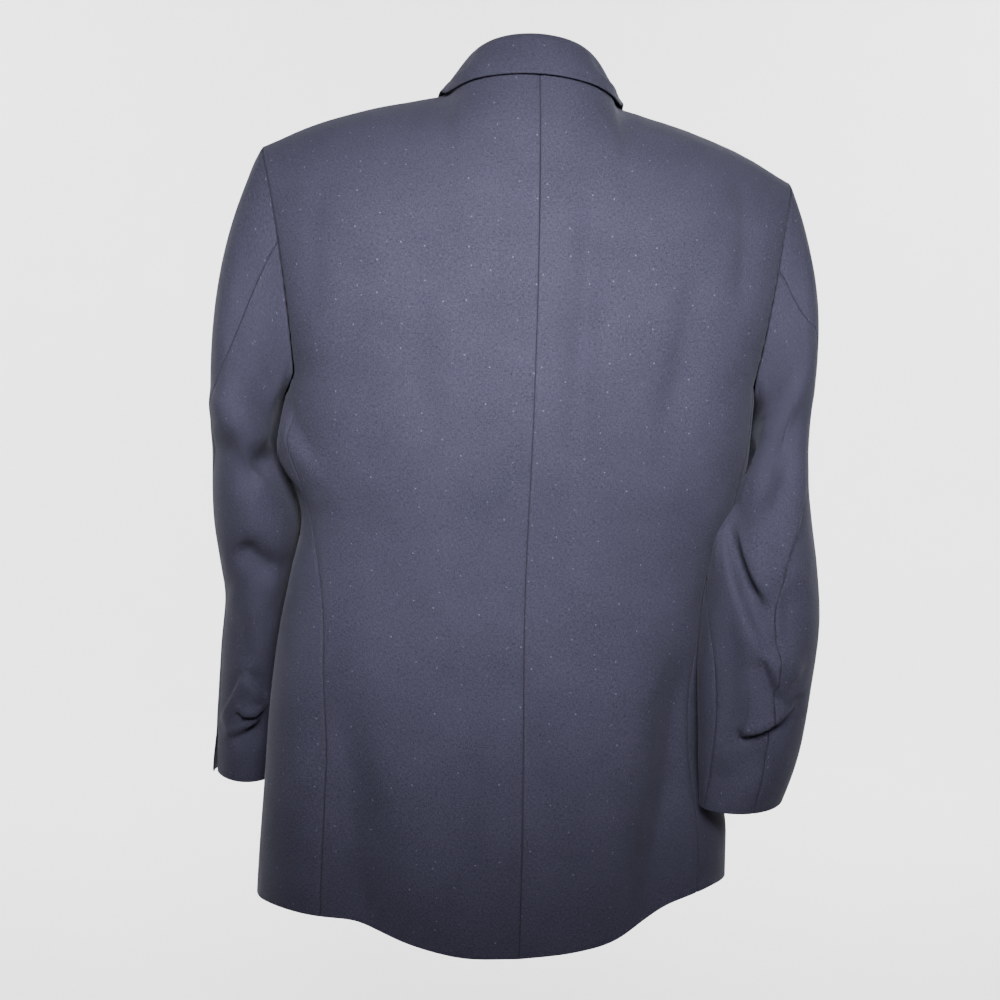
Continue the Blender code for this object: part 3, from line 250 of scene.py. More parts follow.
# Seams of the sleeves, in degrees round the sleeve: 0 outside, 90 back, 180 body side, 270 front
SLEEVE_SEAM_COLUMNS = ("share", "hind", "fore")
LEFT_SLEEVE_SEAMS = (
    (0.00, 66.0, 244.0),
    (0.05, 74.0, 243.0),
    (0.13, 79.0, 242.0),
    (0.20, 74.0, 240.0),
    (0.28, 57.0, 237.0),
    (0.38, 31.0, 233.0),
    (0.50, 18.0, 227.0),
    (0.70, 16.0, 218.0),
    (1.00, 20.0, 208.0),
)
RIGHT_SLEEVE_SEAMS = (
    (0.00, 67.0, 244.0),
    (0.05, 72.5, 243.0),
    (0.10, 71.0, 242.0),
    (0.18, 52.0, 240.0),
    (0.28, 32.0, 236.0),
    (0.38, 32.0, 226.0),
    (0.50, 57.0, 200.0),
    (0.60, 61.0, 160.0),
    (0.70, 55.0, 132.0),
    (0.85, 53.0, 118.0),
    (1.00, 54.0, 114.0),
)
CAP_SHARE = 0.42              # share of the sleeve's rows above SLEEVE_TOP
CLEAR_FROM_SHARE = 0.10       # share from which a sleeve keeps its full distance from the body
CLEAR_BELOW = -0.236          # height below which it does, over a short run
CLEAR_RUN = 0.030
SLEEVE_ROUND = 0.055          # mean radius of a sleeve, which turns degrees round it into lengths
STEP_SHARE = 0.3              # share of a step's half width over which it rises

# Folds of the sleeves. along is degrees round the sleeve, kind is trough or step. A step raises
# what lies above its line and sinks what lies below it.
SLEEVE_FOLD_COLUMNS = ("kind", "along_a", "height_a", "along_b", "height_b", "depth", "half_width")
LEFT_SLEEVE_FOLDS = (
    ("trough", 172.0, -0.310, 120.0, -0.335, -0.0060, 0.012),
    ("trough", 150.0, -0.435, 60.0, -0.415, -0.0060, 0.016),
    ("trough", 20.0, -0.460, 340.0, -0.468, -0.0040, 0.016),
    ("trough", 110.0, -0.600, 60.0, -0.585, -0.0040, 0.010),
)
RIGHT_SLEEVE_FOLDS = (
    ("step", 150.0, -0.360, 68.0, -0.470, 0.0090, 0.020),
    ("trough", 104.0, -0.420, 100.0, -0.560, -0.0110, 0.020),
    ("trough", 62.0, -0.265, 110.0, -0.345, -0.0050, 0.014),
    ("trough", 110.0, -0.600, 50.0, -0.570, -0.0050, 0.012),
)

# Lapel: its width across the front at shares of its length, from the break up to the gorge
LAPEL_COLUMNS = ("share", "width")
LAPEL = (
    (0.00, 0.006),
    (0.12, 0.022),
    (0.35, 0.044),
    (0.65, 0.066),
    (0.86, 0.080),
    (1.00, 0.086),
)
LAPEL_START = {1: -0.386, -1: -0.362}  # height of its lower end on the wearer's left and right
LAPEL_TOP = -0.084            # height of the roll line at the gorge
LAPEL_TOP_SLANT = 0.016       # how much lower the lapel's top edge ends than it starts
LAPEL_SLANT_POWER = 6         # how close to the top edge its rows take up that slant
LAPEL_SWELL_FROM = 0.2        # above 0, the swell starts before the lapel's lower end
LAPEL_INSET = 0.0004          # from the roll line to the lapel's first points
LAPEL_BELLY = 0.0020          # how far its middle stands off the chest
LAPEL_LIFT_RUN = 3.0          # its lift is full at one part in this many of its width
LAPEL_LONG = 0.33             # rough length and width, which place the points beside its edges
LAPEL_WIDE = 0.08
LAPEL_ROWS = 14
LAPEL_SPANS = 6

# Collar, from the centre back (0) round to its front end (1): height and inward lean of the stand,
# and where the fall's edge lies, out from the neck seam and down from it.
COLLAR_SIDE = 0.60            # the share where it passes the shoulder seam
COLLAR_END_HEIGHT = -0.076    # height of the neck's edge at its front end
COLLAR_COLUMNS = ("share", "stand", "lean", "out", "down")
COLLAR = (
    (0.00, 0.0190, 0.0085, 0.0125, 0.0135),
    (0.20, 0.0190, 0.0105, 0.0120, 0.0130),
    (0.40, 0.0175, 0.0135, 0.0105, 0.0120),
    (0.60, 0.0145, 0.0140, 0.0105, 0.0080),
    (0.75, 0.0110, 0.0100, 0.0220, 0.0080),
    (0.88, 0.0085, 0.0045, 0.0350, 0.0090),
    (1.00, 0.0070, 0.0025, 0.0450, 0.0120),
)
COLLAR_FOLD = 0.0022          # half the turn at the top of the collar
COLLAR_BELLY = 0.0022         # how far the fall's middle stands out
COLLAR_BELLY_UP = 0.4         # how much of that goes up as well
COLLAR_LONG = 0.55            # rough length, which places the points beside its ends
COLLAR_HOLLOW = 0.0008        # how far the stand's middle leans in
COLLAR_FOOT_UP = 0.0013       # from the neck's edge to the foot of the stand
COLLAR_FOOT_IN = 0.0006
COLLAR_ON = 0.0040            # middle line to middle line, of the fall over the shoulders
COLLAR_OVER = 0.0024          # how much higher it passes over the shoulder seam
COLLAR_OVER_RUN = 0.16        # share of its length over which that fades
COLLAR_TURNS = (0.0, 60.0, 120.0, 180.0)  # degrees round the fold at its top
FALL_SHARES = (0.34, 0.67, 1.0)  # places of the fall's points, from its fold to its edge

# Small pieces
BUTTON_RADIUS = 0.0100
BUTTON_THICK = 0.0034
BUTTON_STANDS = 0.0005        # between a button and the cloth under it
FRONT_BUTTON_HEIGHTS = {"upper": -0.412, "lower": -0.520}

# How finely the nets are laid out: twice as fine as the solids' walls
BODY_ROWS_LOW = 30
BODY_ROWS_HIGH = 18
BACK_SPANS = 18
SIDE_SPANS = 12
FRONT_SPANS = 16
TOP_SLEEVE_SPANS = 24
UNDER_SLEEVE_SPANS = 18
SLEEVE_ROWS = 48
COLLAR_STATIONS = 33
CUFF_TO_CAP = 0.58            # mean length of a sleeve
CLEAR_SOFTENINGS = 4          # times that a sleeve's move off the body is evened out
BODY_FINE = 3                 # fine cells along each side of a net's cell
SLEEVE_FINE = 3
COLLAR_FINE = 5

# Edges of the cloth: places close beside an edge, in metres, so that it can be rounded
EDGE_PLACES = np.array((0.0, 0.00030, 0.00075, 0.0015, 0.0028))
PLACES_CLEAR = 1.4            # even places begin this many times the last close place's distance away
EDGE_ROUND = 0.0009           # distance from an edge over which the wall thins
EDGE_THIN = 0.14              # share of the thickness that is left at the very edge
SEAM_ROUND = 0.0005           # the same two where the cloth turns in at a seam
SEAM_THIN = 0.55
SEAM_TUCK = 0.0001            # how far each piece reaches past its seam, so that no light comes through
CAP_TUCK = 0.0023             # how far a sleeve's cap reaches back over the armhole's edge
SEAM_SPREAD = 0.0016          # how far beside a seam the cloth is drawn in
SEAM_SHADE_HALF_WIDTH = 0.0005            # half width of the painted shade that darkens a seam's groove
PIECE_APART = 0.41            # each piece is cut from another stretch of the cloth
PUCKER_LENGTH = 0.013         # from one pucker to the next along a seam
PUCKER_SLANT = 0.3            # how much a place aside counts against one up, in a pucker's place
PUCKER_UNEVEN = 31.0          # radians to the metre, over which the puckers' spacing wanders
PUCKER_SHARE = 0.5            # share of the seam's depth by which a pucker varies it
NECK_TURN = 0.01              # width outside the neck over which a top edge turns square to its seam
HEM_ROUNDS = 3                # times that a row's height is worked out again, as the hem depends on it

# Creases of the finished cloth. Each runs through three places given by x and z as
# seen square on from behind or in front. A soft one is a rounded ridge, or a trough where its depth
# is negative. A ledge stands out on the left of its heading as seen from the front, sinks on the
# other side, and does the reverse where its depth is negative.
CREASE_COLUMNS = ("kind", "x_a", "z_a", "x_b", "z_b", "x_c", "z_c", "depth", "width")
BACK_CREASES = (
    ("soft", -0.044, -0.080, -0.040, -0.190, -0.034, -0.345, -0.0026, 0.0080),
    ("soft", -0.062, -0.100, -0.058, -0.190, -0.054, -0.300, 0.0020, 0.0100),
    ("soft", -0.137, -0.140, -0.126, -0.215, -0.112, -0.300, -0.0026, 0.0085),
    ("soft", -0.152, -0.120, -0.147, -0.200, -0.140, -0.300, 0.0012, 0.0110),
    ("soft", 0.015, -0.060, 0.024, -0.140, 0.030, -0.230, -0.0012, 0.0065),
    ("soft", 0.105, -0.100, 0.101, -0.205, 0.092, -0.310, -0.0020, 0.0110),
    ("soft", 0.150, -0.120, 0.156, -0.220, 0.148, -0.330, -0.0010, 0.0120),
    ("soft", 0.182, -0.080, 0.186, -0.140, 0.187, -0.210, -0.0012, 0.0065),
    ("soft", -0.206, -0.060, -0.197, -0.100, -0.189, -0.160, -0.0012, 0.0050),
    ("soft", -0.190, -0.070, -0.182, -0.120, -0.176, -0.190, -0.0010, 0.0055),
    ("soft", 0.150, -0.500, 0.146, -0.640, 0.127, -0.735, -0.0042, 0.0130),
    ("soft", 0.105, -0.560, 0.098, -0.660, 0.086, -0.740, 0.0018, 0.0160),
    ("soft", -0.147, -0.470, -0.136, -0.600, -0.117, -0.730, -0.0046, 0.0130),
    ("soft", -0.100, -0.500, -0.092, -0.620, -0.078, -0.735, 0.0018, 0.0170),
    ("soft", 0.060, -0.380, 0.070, -0.440, 0.066, -0.520, 0.0010, 0.0160),
    ("soft", -0.060, -0.400, -0.055, -0.470, -0.050, -0.560, 0.0010, 0.0180),
    ("soft", -0.190, -0.330, -0.188, -0.430, -0.196, -0.550, 0.0065, 0.0260),
)
FRONT_CREASES = (
    ("soft", 0.030, -0.418, 0.075, -0.440, 0.120, -0.470, -0.0022, 0.0090),
    ("soft", 0.036, -0.405, 0.085, -0.395, 0.135, -0.372, -0.0020, 0.0080),
    ("soft", -0.020, -0.418, -0.070, -0.442, -0.120, -0.462, -0.0020, 0.0090),
    ("soft", -0.024, -0.404, -0.075, -0.392, -0.125, -0.360, -0.0018, 0.0085),
    ("soft", 0.165, -0.110, 0.168, -0.180, 0.160, -0.250, -0.0018, 0.0080),
    ("soft", -0.168, -0.120, -0.170, -0.190, -0.158, -0.270, -0.0018, 0.0090),
    ("soft", 0.125, -0.520, 0.120, -0.620, 0.104, -0.720, -0.0024, 0.0130),
    ("soft", -0.110, -0.500, -0.112, -0.610, -0.100, -0.710, -0.0022, 0.0120),
    ("soft", 0.075, -0.560, 0.072, -0.640, 0.066, -0.725, 0.0020, 0.0160),
    ("soft", -0.066, -0.560, -0.066, -0.640, -0.058, -0.715, 0.0018, 0.0150),
    ("soft", 0.140, -0.240, 0.146, -0.320, 0.150, -0.400, -0.0014, 0.0100),
)
LEFT_SLEEVE_BACK_CREASES = (
    ("soft", 0.276, -0.262, 0.250, -0.292, 0.224, -0.324, 0.0044, 0.0100),
    ("soft", 0.272, -0.300, 0.250, -0.330, 0.226, -0.348, -0.0062, 0.0130),
    ("soft", 0.253, -0.401, 0.236, -0.418, 0.212, -0.436, -0.0060, 0.0080),
    ("soft", 0.266, -0.455, 0.248, -0.462, 0.222, -0.474, 0.0022, 0.0110),
    ("soft", 0.246, -0.190, 0.251, -0.232, 0.256, -0.270, -0.0016, 0.0080),
    ("ledge", 0.2485, -0.528, 0.261, -0.556, 0.277, -0.588, -0.0044, 0.0090),
    ("ledge", 0.2480, -0.528, 0.238, -0.546, 0.231, -0.560, 0.0042, 0.0090),
    ("ledge", 0.260, -0.565, 0.243, -0.574, 0.229, -0.564, -0.0050, 0.0080),
    ("ledge", 0.270, -0.601, 0.250, -0.590, 0.230, -0.576, -0.0058, 0.0110),
    ("soft", 0.262, -0.475, 0.252, -0.500, 0.248, -0.526, -0.0016, 0.0060),
)
RIGHT_SLEEVE_BACK_CREASES = (
    ("soft", -0.243, -0.250, -0.217, -0.316, -0.201, -0.368, -0.0066, 0.0090),
    ("soft", -0.226, -0.255, -0.207, -0.310, -0.194, -0.352, 0.0026, 0.0080),
    ("soft", -0.246, -0.300, -0.235, -0.350, -0.226, -0.400, 0.0024, 0.0100),
    ("ledge", -0.2545, -0.318, -0.2370, -0.378, -0.2285, -0.420, 0.0030, 0.0080),
    ("ledge", -0.2285, -0.418, -0.2290, -0.448, -0.2310, -0.468, 0.0024, 0.0060),
    ("ledge", -0.2330, -0.404, -0.2430, -0.419, -0.2560, -0.436, -0.0014, 0.0050),
    ("ledge", -0.1900, -0.366, -0.2030, -0.402, -0.2225, -0.447, -0.0090, 0.0150),
    ("soft", -0.2250, -0.470, -0.2300, -0.490, -0.2420, -0.506, 0.0050, 0.0080),
    ("ledge", -0.2130, -0.478, -0.2190, -0.500, -0.2260, -0.523, -0.0056, 0.0080),
    ("ledge", -0.2260, -0.523, -0.2400, -0.519, -0.2560, -0.514, -0.0020, 0.0060),
    ("ledge", -0.1900, -0.548, -0.2100, -0.549, -0.2500, -0.519, -0.0076, 0.0110),
    ("soft", -0.2440, -0.100, -0.2340, -0.160, -0.2260, -0.215, -0.0012, 0.0060),
)
LEFT_SLEEVE_FRONT_CREASES = (
    ("soft", 0.205, -0.215, 0.232, -0.240, 0.262, -0.250, -0.0026, 0.0080),
    ("soft", 0.205, -0.300, 0.230, -0.322, 0.262, -0.330, -0.0046, 0.0075),
    ("soft", 0.208, -0.322, 0.232, -0.348, 0.266, -0.362, 0.0030, 0.0080),
    ("soft", 0.212, -0.372, 0.236, -0.372, 0.266, -0.352, -0.0040, 0.0070),
    ("soft", 0.214, -0.410, 0.240, -0.430, 0.268, -0.436, -0.0022, 0.0080),
    ("soft", 0.222, -0.520, 0.246, -0.536, 0.272, -0.532, -0.0026, 0.0080),
    ("soft", 0.226, -0.585, 0.250, -0.574, 0.274, -0.582, -0.0022, 0.0070),
)
RIGHT_SLEEVE_FRONT_CREASES = (
    ("soft", -0.200, -0.220, -0.228, -0.246, -0.262, -0.262, -0.0026, 0.0080),
    ("soft", -0.196, -0.296, -0.222, -0.318, -0.256, -0.322, -0.0048, 0.0075),
    ("soft", -0.194, -0.330, -0.222, -0.350, -0.256, -0.356, 0.0030, 0.0085),
    ("soft", -0.192, -0.386, -0.222, -0.376, -0.256, -0.352, -0.0044, 0.0070),
    ("soft", -0.186, -0.450, -0.216, -0.470, -0.250, -0.466, -0.0026, 0.0085),
    ("soft", -0.180, -0.560, -0.206, -0.574, -0.240, -0.560, -0.0026, 0.0080),
)
CREASE_STEPS = 16             # straight steps along a crease
CREASE_REACH = 4.0            # widths to either side within which a crease is worked out
CREASE_FADE = 0.30            # share of a crease's length over which each end fades
LEDGE_SHARP = 0.20            # share of a ledge's width over which it rises
PUSH_FROM_SIDE = 0.25         # how far a surface must face back or front to take that side's creases

# The right sleeve's inner side fills out towards the waist
FILL_OUT = 0.009
FILL_OUT_MIDDLE = -0.435      # height where it is fullest
FILL_OUT_RUN = 0.080          # how far above and below that it fades
FILL_OUT_FROM = -0.258        # x at the sleeve's outer side, which stays
FILL_OUT_OVER = 0.055         # width from there over which it grows

# Left cuff's vent, which hangs a little open along the hind seam
VENT_HEIGHT = 0.058           # from the cuff's edge up to where it closes
VENT_REACH = 0.012            # how far from the seam the cloth is lifted
VENT_OPEN = 0.0042            # how far it is lifted at the seam


def read_curve(knots, values, at):
    """Reads numbers or points on a smooth curve through rows of values, at any places of its knots."""
    knots = np.asarray(knots, float)
    values = np.asarray(values, float)
    tail = (None,) * (values.ndim - 1)
    run = np.diff(knots)
    long_run = run[(slice(None),) + tail]
    rise = np.diff(values, axis=0) / long_run
    slope = np.empty_like(values)
    slope[0] = rise[0]
    slope[-1] = rise[-1]
    weighed = rise[:-1] * long_run[1:] + rise[1:] * long_run[:-1]
    slope[1:-1] = weighed / (long_run[:-1] + long_run[1:])
    at = np.clip(np.asarray(at, float), knots[0], knots[-1])
    cell = np.clip(np.searchsorted(knots, at) - 1, 0, len(run) - 1)
    share = ((at - knots[cell]) / run[cell])[(...,) + tail]
    from_low = (1.0 + 2.0 * share) * (1.0 - share) ** 2 * values[cell]
    from_high = share ** 2 * (3.0 - 2.0 * share) * values[cell + 1]
    bends = share * (1.0 - share) ** 2 * slope[cell] + share ** 2 * (share - 1.0) * slope[cell + 1]
    return from_low + from_high + long_run[cell] * bends


def column(table, columns, name, at):
    """Reads one named column of a table at any place of its first column, on a smooth curve."""
    rows = np.asarray(table, float)
    return read_curve(rows[:, 0], rows[:, columns.index(name)], at)


def unit(vectors):
    """Vectors of length one."""
    return vectors / np.maximum(np.linalg.norm(vectors, axis=-1, keepdims=True), 1e-12)


def smooth_step(value):
    """0 up to 0, 1 from 1 on, with soft ends."""
    value = np.clip(value, 0.0, 1.0)
    return value * value * (3.0 - 2.0 * value)


def run_lengths(points, axis=0):
    """Distance of each point from the first one of its line, in a line or a grid of points."""
    steps = np.cumsum(np.linalg.norm(np.diff(points, axis=axis), axis=-1), axis=axis)
    return np.concatenate((np.zeros_like(steps.take([0], axis=axis)), steps), axis=axis)


def word_of(side):
    """The wearer's side as a word, for the names of pieces."""
    return "left" if side > 0 else "right"


def half_ring(height):
    """The left half of a level ring from centre back to centre front: x, depth, distance round."""
    sizes = {name: float(column(RINGS, RING_COLUMNS, name, height)) for name in RING_COLUMNS[1:]}
    turn = np.linspace(0.0, math.pi, RING_STEPS + 1)
    across = np.sin(turn)
    deep = np.cos(turn)
    square = np.where(deep >= 0.0, sizes["back_square"], sizes["front_square"])
    reach = np.where(deep >= 0.0, sizes["back"], sizes["front"])
    x = sizes["half_width"] * np.abs(across) ** (2.0 / square)
    y = sizes["middle"] + reach * np.sign(deep) * np.abs(deep) ** (2.0 / square)
    return x, y, run_lengths(np.stack((x, y), axis=1))


def seam_places(height):
    """Distances round the half ring of the side panel's two seams, and of the centre front."""
    x, y, along = half_ring(height)
    widest = int(np.argmax(x))
    back_x = float(column(SEAMS, SEAM_COLUMNS, "back_seam_x", height))
    front_x = float(column(SEAMS, SEAM_COLUMNS, "front_seam_x", height))
    back = np.interp(back_x, x[:widest + 1], along[:widest + 1])
    front = np.interp(-front_x, -x[widest:], along[widest:])
    return float(back), float(front), float(along[-1])


def ring_point(height, place):
    """A point of the half ring, and past its centre front on the other side."""
    x, y, along = half_ring(height)
    past = place > along[-1]
    read = 2.0 * along[-1] - place if past else place
    across = float(np.interp(read, along, x))
    return np.array((-across if past else across, float(np.interp(read, along, y)), height))


def edge_place(height):
    """Distance round the half ring of the front's own edge."""
    end = seam_places(height)[2]
    if height <= BREAK_HEIGHT:
        return end + float(column(FRONT_EDGE, EDGE_COLUMNS, "past_centre", height))
    x, y, along = half_ring(height)
    widest = int(np.argmax(x))
    rolled = float(np.interp(-roll_x(height), -x[widest:], along[widest:]))
    lapped = end + float(column(FRONT_EDGE, EDGE_COLUMNS, "past_centre", BREAK_HEIGHT))
    share = min(1.0, (height - BREAK_HEIGHT) / EDGE_EASE)
    return lapped + (rolled - lapped) * share


def roll_x(height):
    """How far the lapel's roll line stands from the centre at a height."""
    share = (height - BREAK_HEIGHT) / (NECK_SIDE[1] - BREAK_HEIGHT)
    return BREAK_FROM_CENTRE + (NECK_HALF_WIDTH - BREAK_FROM_CENTRE) * share


def patch(bottom, top, inner, outer, rises):
    """A surface between four curves that meet at the corners. Rows run from bottom to top."""
    rise = rises[:, None, None]
    run = np.linspace(0.0, 1.0, len(bottom))[None, :, None]
    between_rows = (1.0 - rise) * bottom[None] + rise * top[None]
    between_columns = (1.0 - run) * inner[:, None] + run * outer[:, None]
    low = (1.0 - run) * bottom[0] + run * bottom[-1]
    high = (1.0 - run) * top[0] + run * top[-1]
    return between_rows + between_columns - ((1.0 - rise) * low + rise * high)


def curve_up(table, columns, rises, x_of=None):
    """Points up a table of heights from its first row to its last, at shares of its length."""
    rows = np.asarray(table, float)
    steps = run_lengths(rows[:, [0, -1]])
    height = np.interp(rises * steps[-1], steps, rows[:, 0])
    depth = column(table, columns, "depth", height)
    if x_of is None:
        x = column(table, columns, "x", height)
    else:
        x = np.array([x_of(value) for value in height])
    return np.stack((x, depth, height), axis=1)


def shoulder_point(share):
    """The shoulder seam from the neck (0) to the tip (1)."""
    x = NECK_HALF_WIDTH + (SHOULDER_TIP[0] - NECK_HALF_WIDTH) * share
    depth = NECK_SIDE[0] + (SHOULDER_TIP[1] - NECK_SIDE[0]) * share
    return np.array((x, depth, float(column(SHOULDER, SHOULDER_COLUMNS, "height", x))))


def shoulder_edge(spans):
    """The shoulder seam from the neck out to the tip, at even shares."""
    return np.array([shoulder_point(share) for share in np.linspace(0.0, 1.0, spans + 1)])


def neck_point(share):
    """The neck seam from the centre back (0) to the shoulder seam (1)."""
    turn = 0.5 * math.pi * share
    x = NECK_HALF_WIDTH * math.sin(turn)
    depth = NECK_SIDE[0] + (NECK_BACK[0] - NECK_SIDE[0]) * math.cos(turn)
    height = NECK_SIDE[1] + (NECK_BACK[1] - NECK_SIDE[1]) * math.cos(turn)
    return np.array((x, depth, height))


def back_top(spans):
    """The back's top edge: the neck, then the shoulder seam, at even shares."""
    points = []
    for share in np.linspace(0.0, 1.0, spans + 1):
        if share <= NECK_SHARE:
            points.append(neck_point(share / NECK_SHARE))
        else:
            points.append(shoulder_point((share - NECK_SHARE) / (1.0 - NECK_SHARE)))
    return np.array(points)


def rolled_over(spans, middle, rises):
    """What the back's top edge adds to a plain curve through middle, felt only near the edge."""
    top = back_top(spans)
    share = np.linspace(0.0, 1.0, spans + 1)[:, None]
    plain = (1.0 - share) ** 2 * top[0] + 2.0 * share * (1.0 - share) * middle + share ** 2 * top[-1]
    return plain, (top - plain)[None] * (rises ** ROLL_OVER_POWER)[:, None, None]


def fullness(rises, spans, amount, high, wide):
    """A soft swelling over a patch, none at its edges."""
    rise = rises[:, None]
    run = np.linspace(0.0, 1.0, spans + 1)[None, :]
    lift = np.sin(math.pi * rise ** high) * np.sin(math.pi * run ** wide)
    return amount * np.maximum(lift, 0.0)


def grid_normals(points, outward):
    """Unit normals of a grid of points, turned to the side that outward(points) gives."""
    down_rows = np.gradient(points, axis=0)
    along_columns = np.gradient(points, axis=1)
    normals = unit(np.cross(along_columns, down_rows))
    middle = (points.shape[0] // 2, points.shape[1] // 2)
    if np.dot(normals[middle], outward) < 0.0:
        normals = -normals
    return normals


def low_panel(side, name, spans):
    """A panel's points from the hem up to the armholes' height, and their distances round the body."""
    grid = np.zeros((BODY_ROWS_LOW + 1, spans + 1, 3))
    place = np.zeros((BODY_ROWS_LOW + 1, spans + 1))
    for j in range(spans + 1):
        run = j / spans
        top = RING_TOP
        if name == "side":
            top -= ARMHOLE_DIP * math.sin(math.pi * run) ** ARMHOLE_DIP_POWER
        for i, rise in enumerate(np.linspace(0.0, 1.0, BODY_ROWS_LOW + 1)):
            height = RING_TOP
            for _ in range(HEM_ROUNDS):
                back, front, end = seam_places(height)
                first, last = back, front
                if name == "back":
                    first, last = 0.0, back
                elif name == "front":
                    first, last = front, edge_place(height)
                at = first + (last - first) * run
                hem = float(column(HEM, HEM_COLUMNS, word_of(side), min(at, end)))
                height = hem + (top - hem) * rise
            grid[i, j] = ring_point(height, at)
            place[i, j] = at
    return grid, place


def half_body(side):
    """Grids of one half's back, side and front, all at +X, on the shared form, with no folds yet.

    Each grid's rows run up from the hem, and its columns run from the back to the front.
    Also gives each point's distance round the body from the centre back.
    """
    grids = {}
    places = {}
    for name, spans in (("back", BACK_SPANS), ("side", SIDE_SPANS), ("front", FRONT_SPANS)):
        grids[name], places[name] = low_panel(side, name, spans)
    rises = 1.0 - (1.0 - np.linspace(0.0, 1.0, BODY_ROWS_HIGH + 1)) ** ROW_CROWDING
    bottom = grids["back"][-1]
    inner = curve_up(CENTRE_BACK, CENTRE_BACK_COLUMNS, rises, lambda height: 0.0)
    outer = curve_up(BACK_ARMHOLE, ARMHOLE_COLUMNS, rises)
    inner[0] = bottom[0]
    outer[0] = bottom[-1]
    plain, rolled = rolled_over(BACK_SPANS, BACK_TOP_MIDDLE, rises)
    high_back = patch(bottom, plain, inner, outer, rises) + rolled
    full = fullness(rises, BACK_SPANS, BACK_FULLNESS, *BACK_FULLNESS_PLACE)[..., None]
    high_back += grid_normals(high_back, (0, 1, 0)) * full
    bottom = grids["front"][-1]
    inner = curve_up(FRONT_ARMHOLE, ARMHOLE_COLUMNS, rises)
    outer = curve_up(ROLL_LINE, ROLL_COLUMNS, rises, roll_x)
    inner[0] = bottom[0]
    outer[0] = bottom[-1]
    high_front = patch(bottom, shoulder_edge(FRONT_SPANS)[::-1], inner, outer, rises)
    full = fullness(rises, FRONT_SPANS, FRONT_FULLNESS, *FRONT_FULLNESS_PLACE)[..., None]
    high_front += grid_normals(high_front, (0, -1, 0)) * full
    for name, high in (("back", high_back), ("front", high_front)):
        start = 0.0 if name == "back" else places[name][-1, 0]
        grids[name] = np.concatenate((grids[name], high[1:]))
        places[name] = np.concatenate((places[name], start + run_lengths(high, axis=1)[1:]))
    return grids, places


def shared_normals(grids):
    """Normals of the three grids, the same on both sides of each seam."""
    normals = {
        "back": grid_normals(grids["back"], (0.2, 1, 0)),
        "side": grid_normals(grids["side"], (1, 0, 0)),
        "front": grid_normals(grids["front"], (0.2, -1, 0)),
    }
    last = BODY_ROWS_LOW + 1
    for first, second in (("back", "side"), ("side", "front")):
        joined = unit(normals[first][:last, -1] + normals[second][:last, 0])
        normals[first][:last, -1] = joined
        normals[second][:last, 0] = joined
    normals["back"][:, 0, 0] = 0.0
    normals["back"][:, 0] = unit(normals["back"][:, 0])
    for name in ("back", "front"):
        edge = grids[name][-1]
        along = unit(np.gradient(edge, axis=0))
        upright = np.array((0.0, 0.0, 1.0))
        square = unit(upright - along * (along @ upright)[:, None])
        past_neck = np.abs(edge[:, 0]) - NECK_HALF_WIDTH
        share = np.clip(past_neck / NECK_TURN + 1.0, 0.0, 1.0)[:, None]
        normals[name][-1] = unit(normals[name][-1] * (1.0 - share) + square * share)
    return normals


def stroke(along, height, row):
    """How much of a fold is felt at each place, and how far beside its line the place lies."""
    start = np.array((row["along_a"], row["height_a"]))
    run = np.array((row["along_b"], row["height_b"])) - start
    length = np.linalg.norm(run)
    heading = run / length
    offset_x = along - start[0]
    offset_z = height - start[1]
    ahead = (offset_x * heading[0] + offset_z * heading[1]) / length
    beside = offset_x * heading[1] - offset_z * heading[0]
    began = np.clip((ahead + FOLD_FADE) / (2.0 * FOLD_FADE), 0.0, 1.0)
    to_end = np.clip((1.0 + FOLD_FADE - ahead) / (2.0 * FOLD_FADE), 0.0, 1.0)
    return smooth_step(began * to_end) * np.exp(-0.5 * (beside / row["half_width"]) ** 2), beside


def body_relief(side, places, heights):
    """Outward relief of the body's folds."""
    relief = np.zeros_like(places)
    for fold in BODY_FOLDS:
        row = dict(zip(FOLD_COLUMNS, fold))
        if row["side"] == side:
            relief += row["depth"] * stroke(places, heights, row)[0]
    return relief


def mirrored(points, side):
    """The same points on the wearer's left (+1) or right (-1)."""
    return points * np.array((float(side), 1.0, 1.0))


def pose_turn(heights):
    """How far round, and how far aside, the body is posed at each height."""
    share = smooth_step((POSE_TOP - heights) / (POSE_TOP - POSE_BOTTOM))
    return HEM_TWIST * share, HEM_DRIFT * share


def posed(points):
    """Points of the even form, turned and tilted into the pose."""
    turn, drift = pose_turn(points[..., 2])
    x = points[..., 0] * np.cos(turn) - points[..., 1] * np.sin(turn) + drift
    y = points[..., 0] * np.sin(turn) + points[..., 1] * np.cos(turn)
    near_top = np.clip((points[..., 2] - RING_TOP) / (SHOULDER_TIP[2] - RING_TOP), 0.0, 1.0)
    return np.stack((x, y, points[..., 2] + SHOULDER_TILT * points[..., 0] * near_top), axis=-1)


def turned(normals, heights):
    """Normals of the even form, turned with the pose."""
    turn = pose_turn(heights)[0]
    x = normals[..., 0] * np.cos(turn) - normals[..., 1] * np.sin(turn)
    y = normals[..., 0] * np.sin(turn) + normals[..., 1] * np.cos(turn)
    return np.stack((x, y, normals[..., 2]), axis=-1)


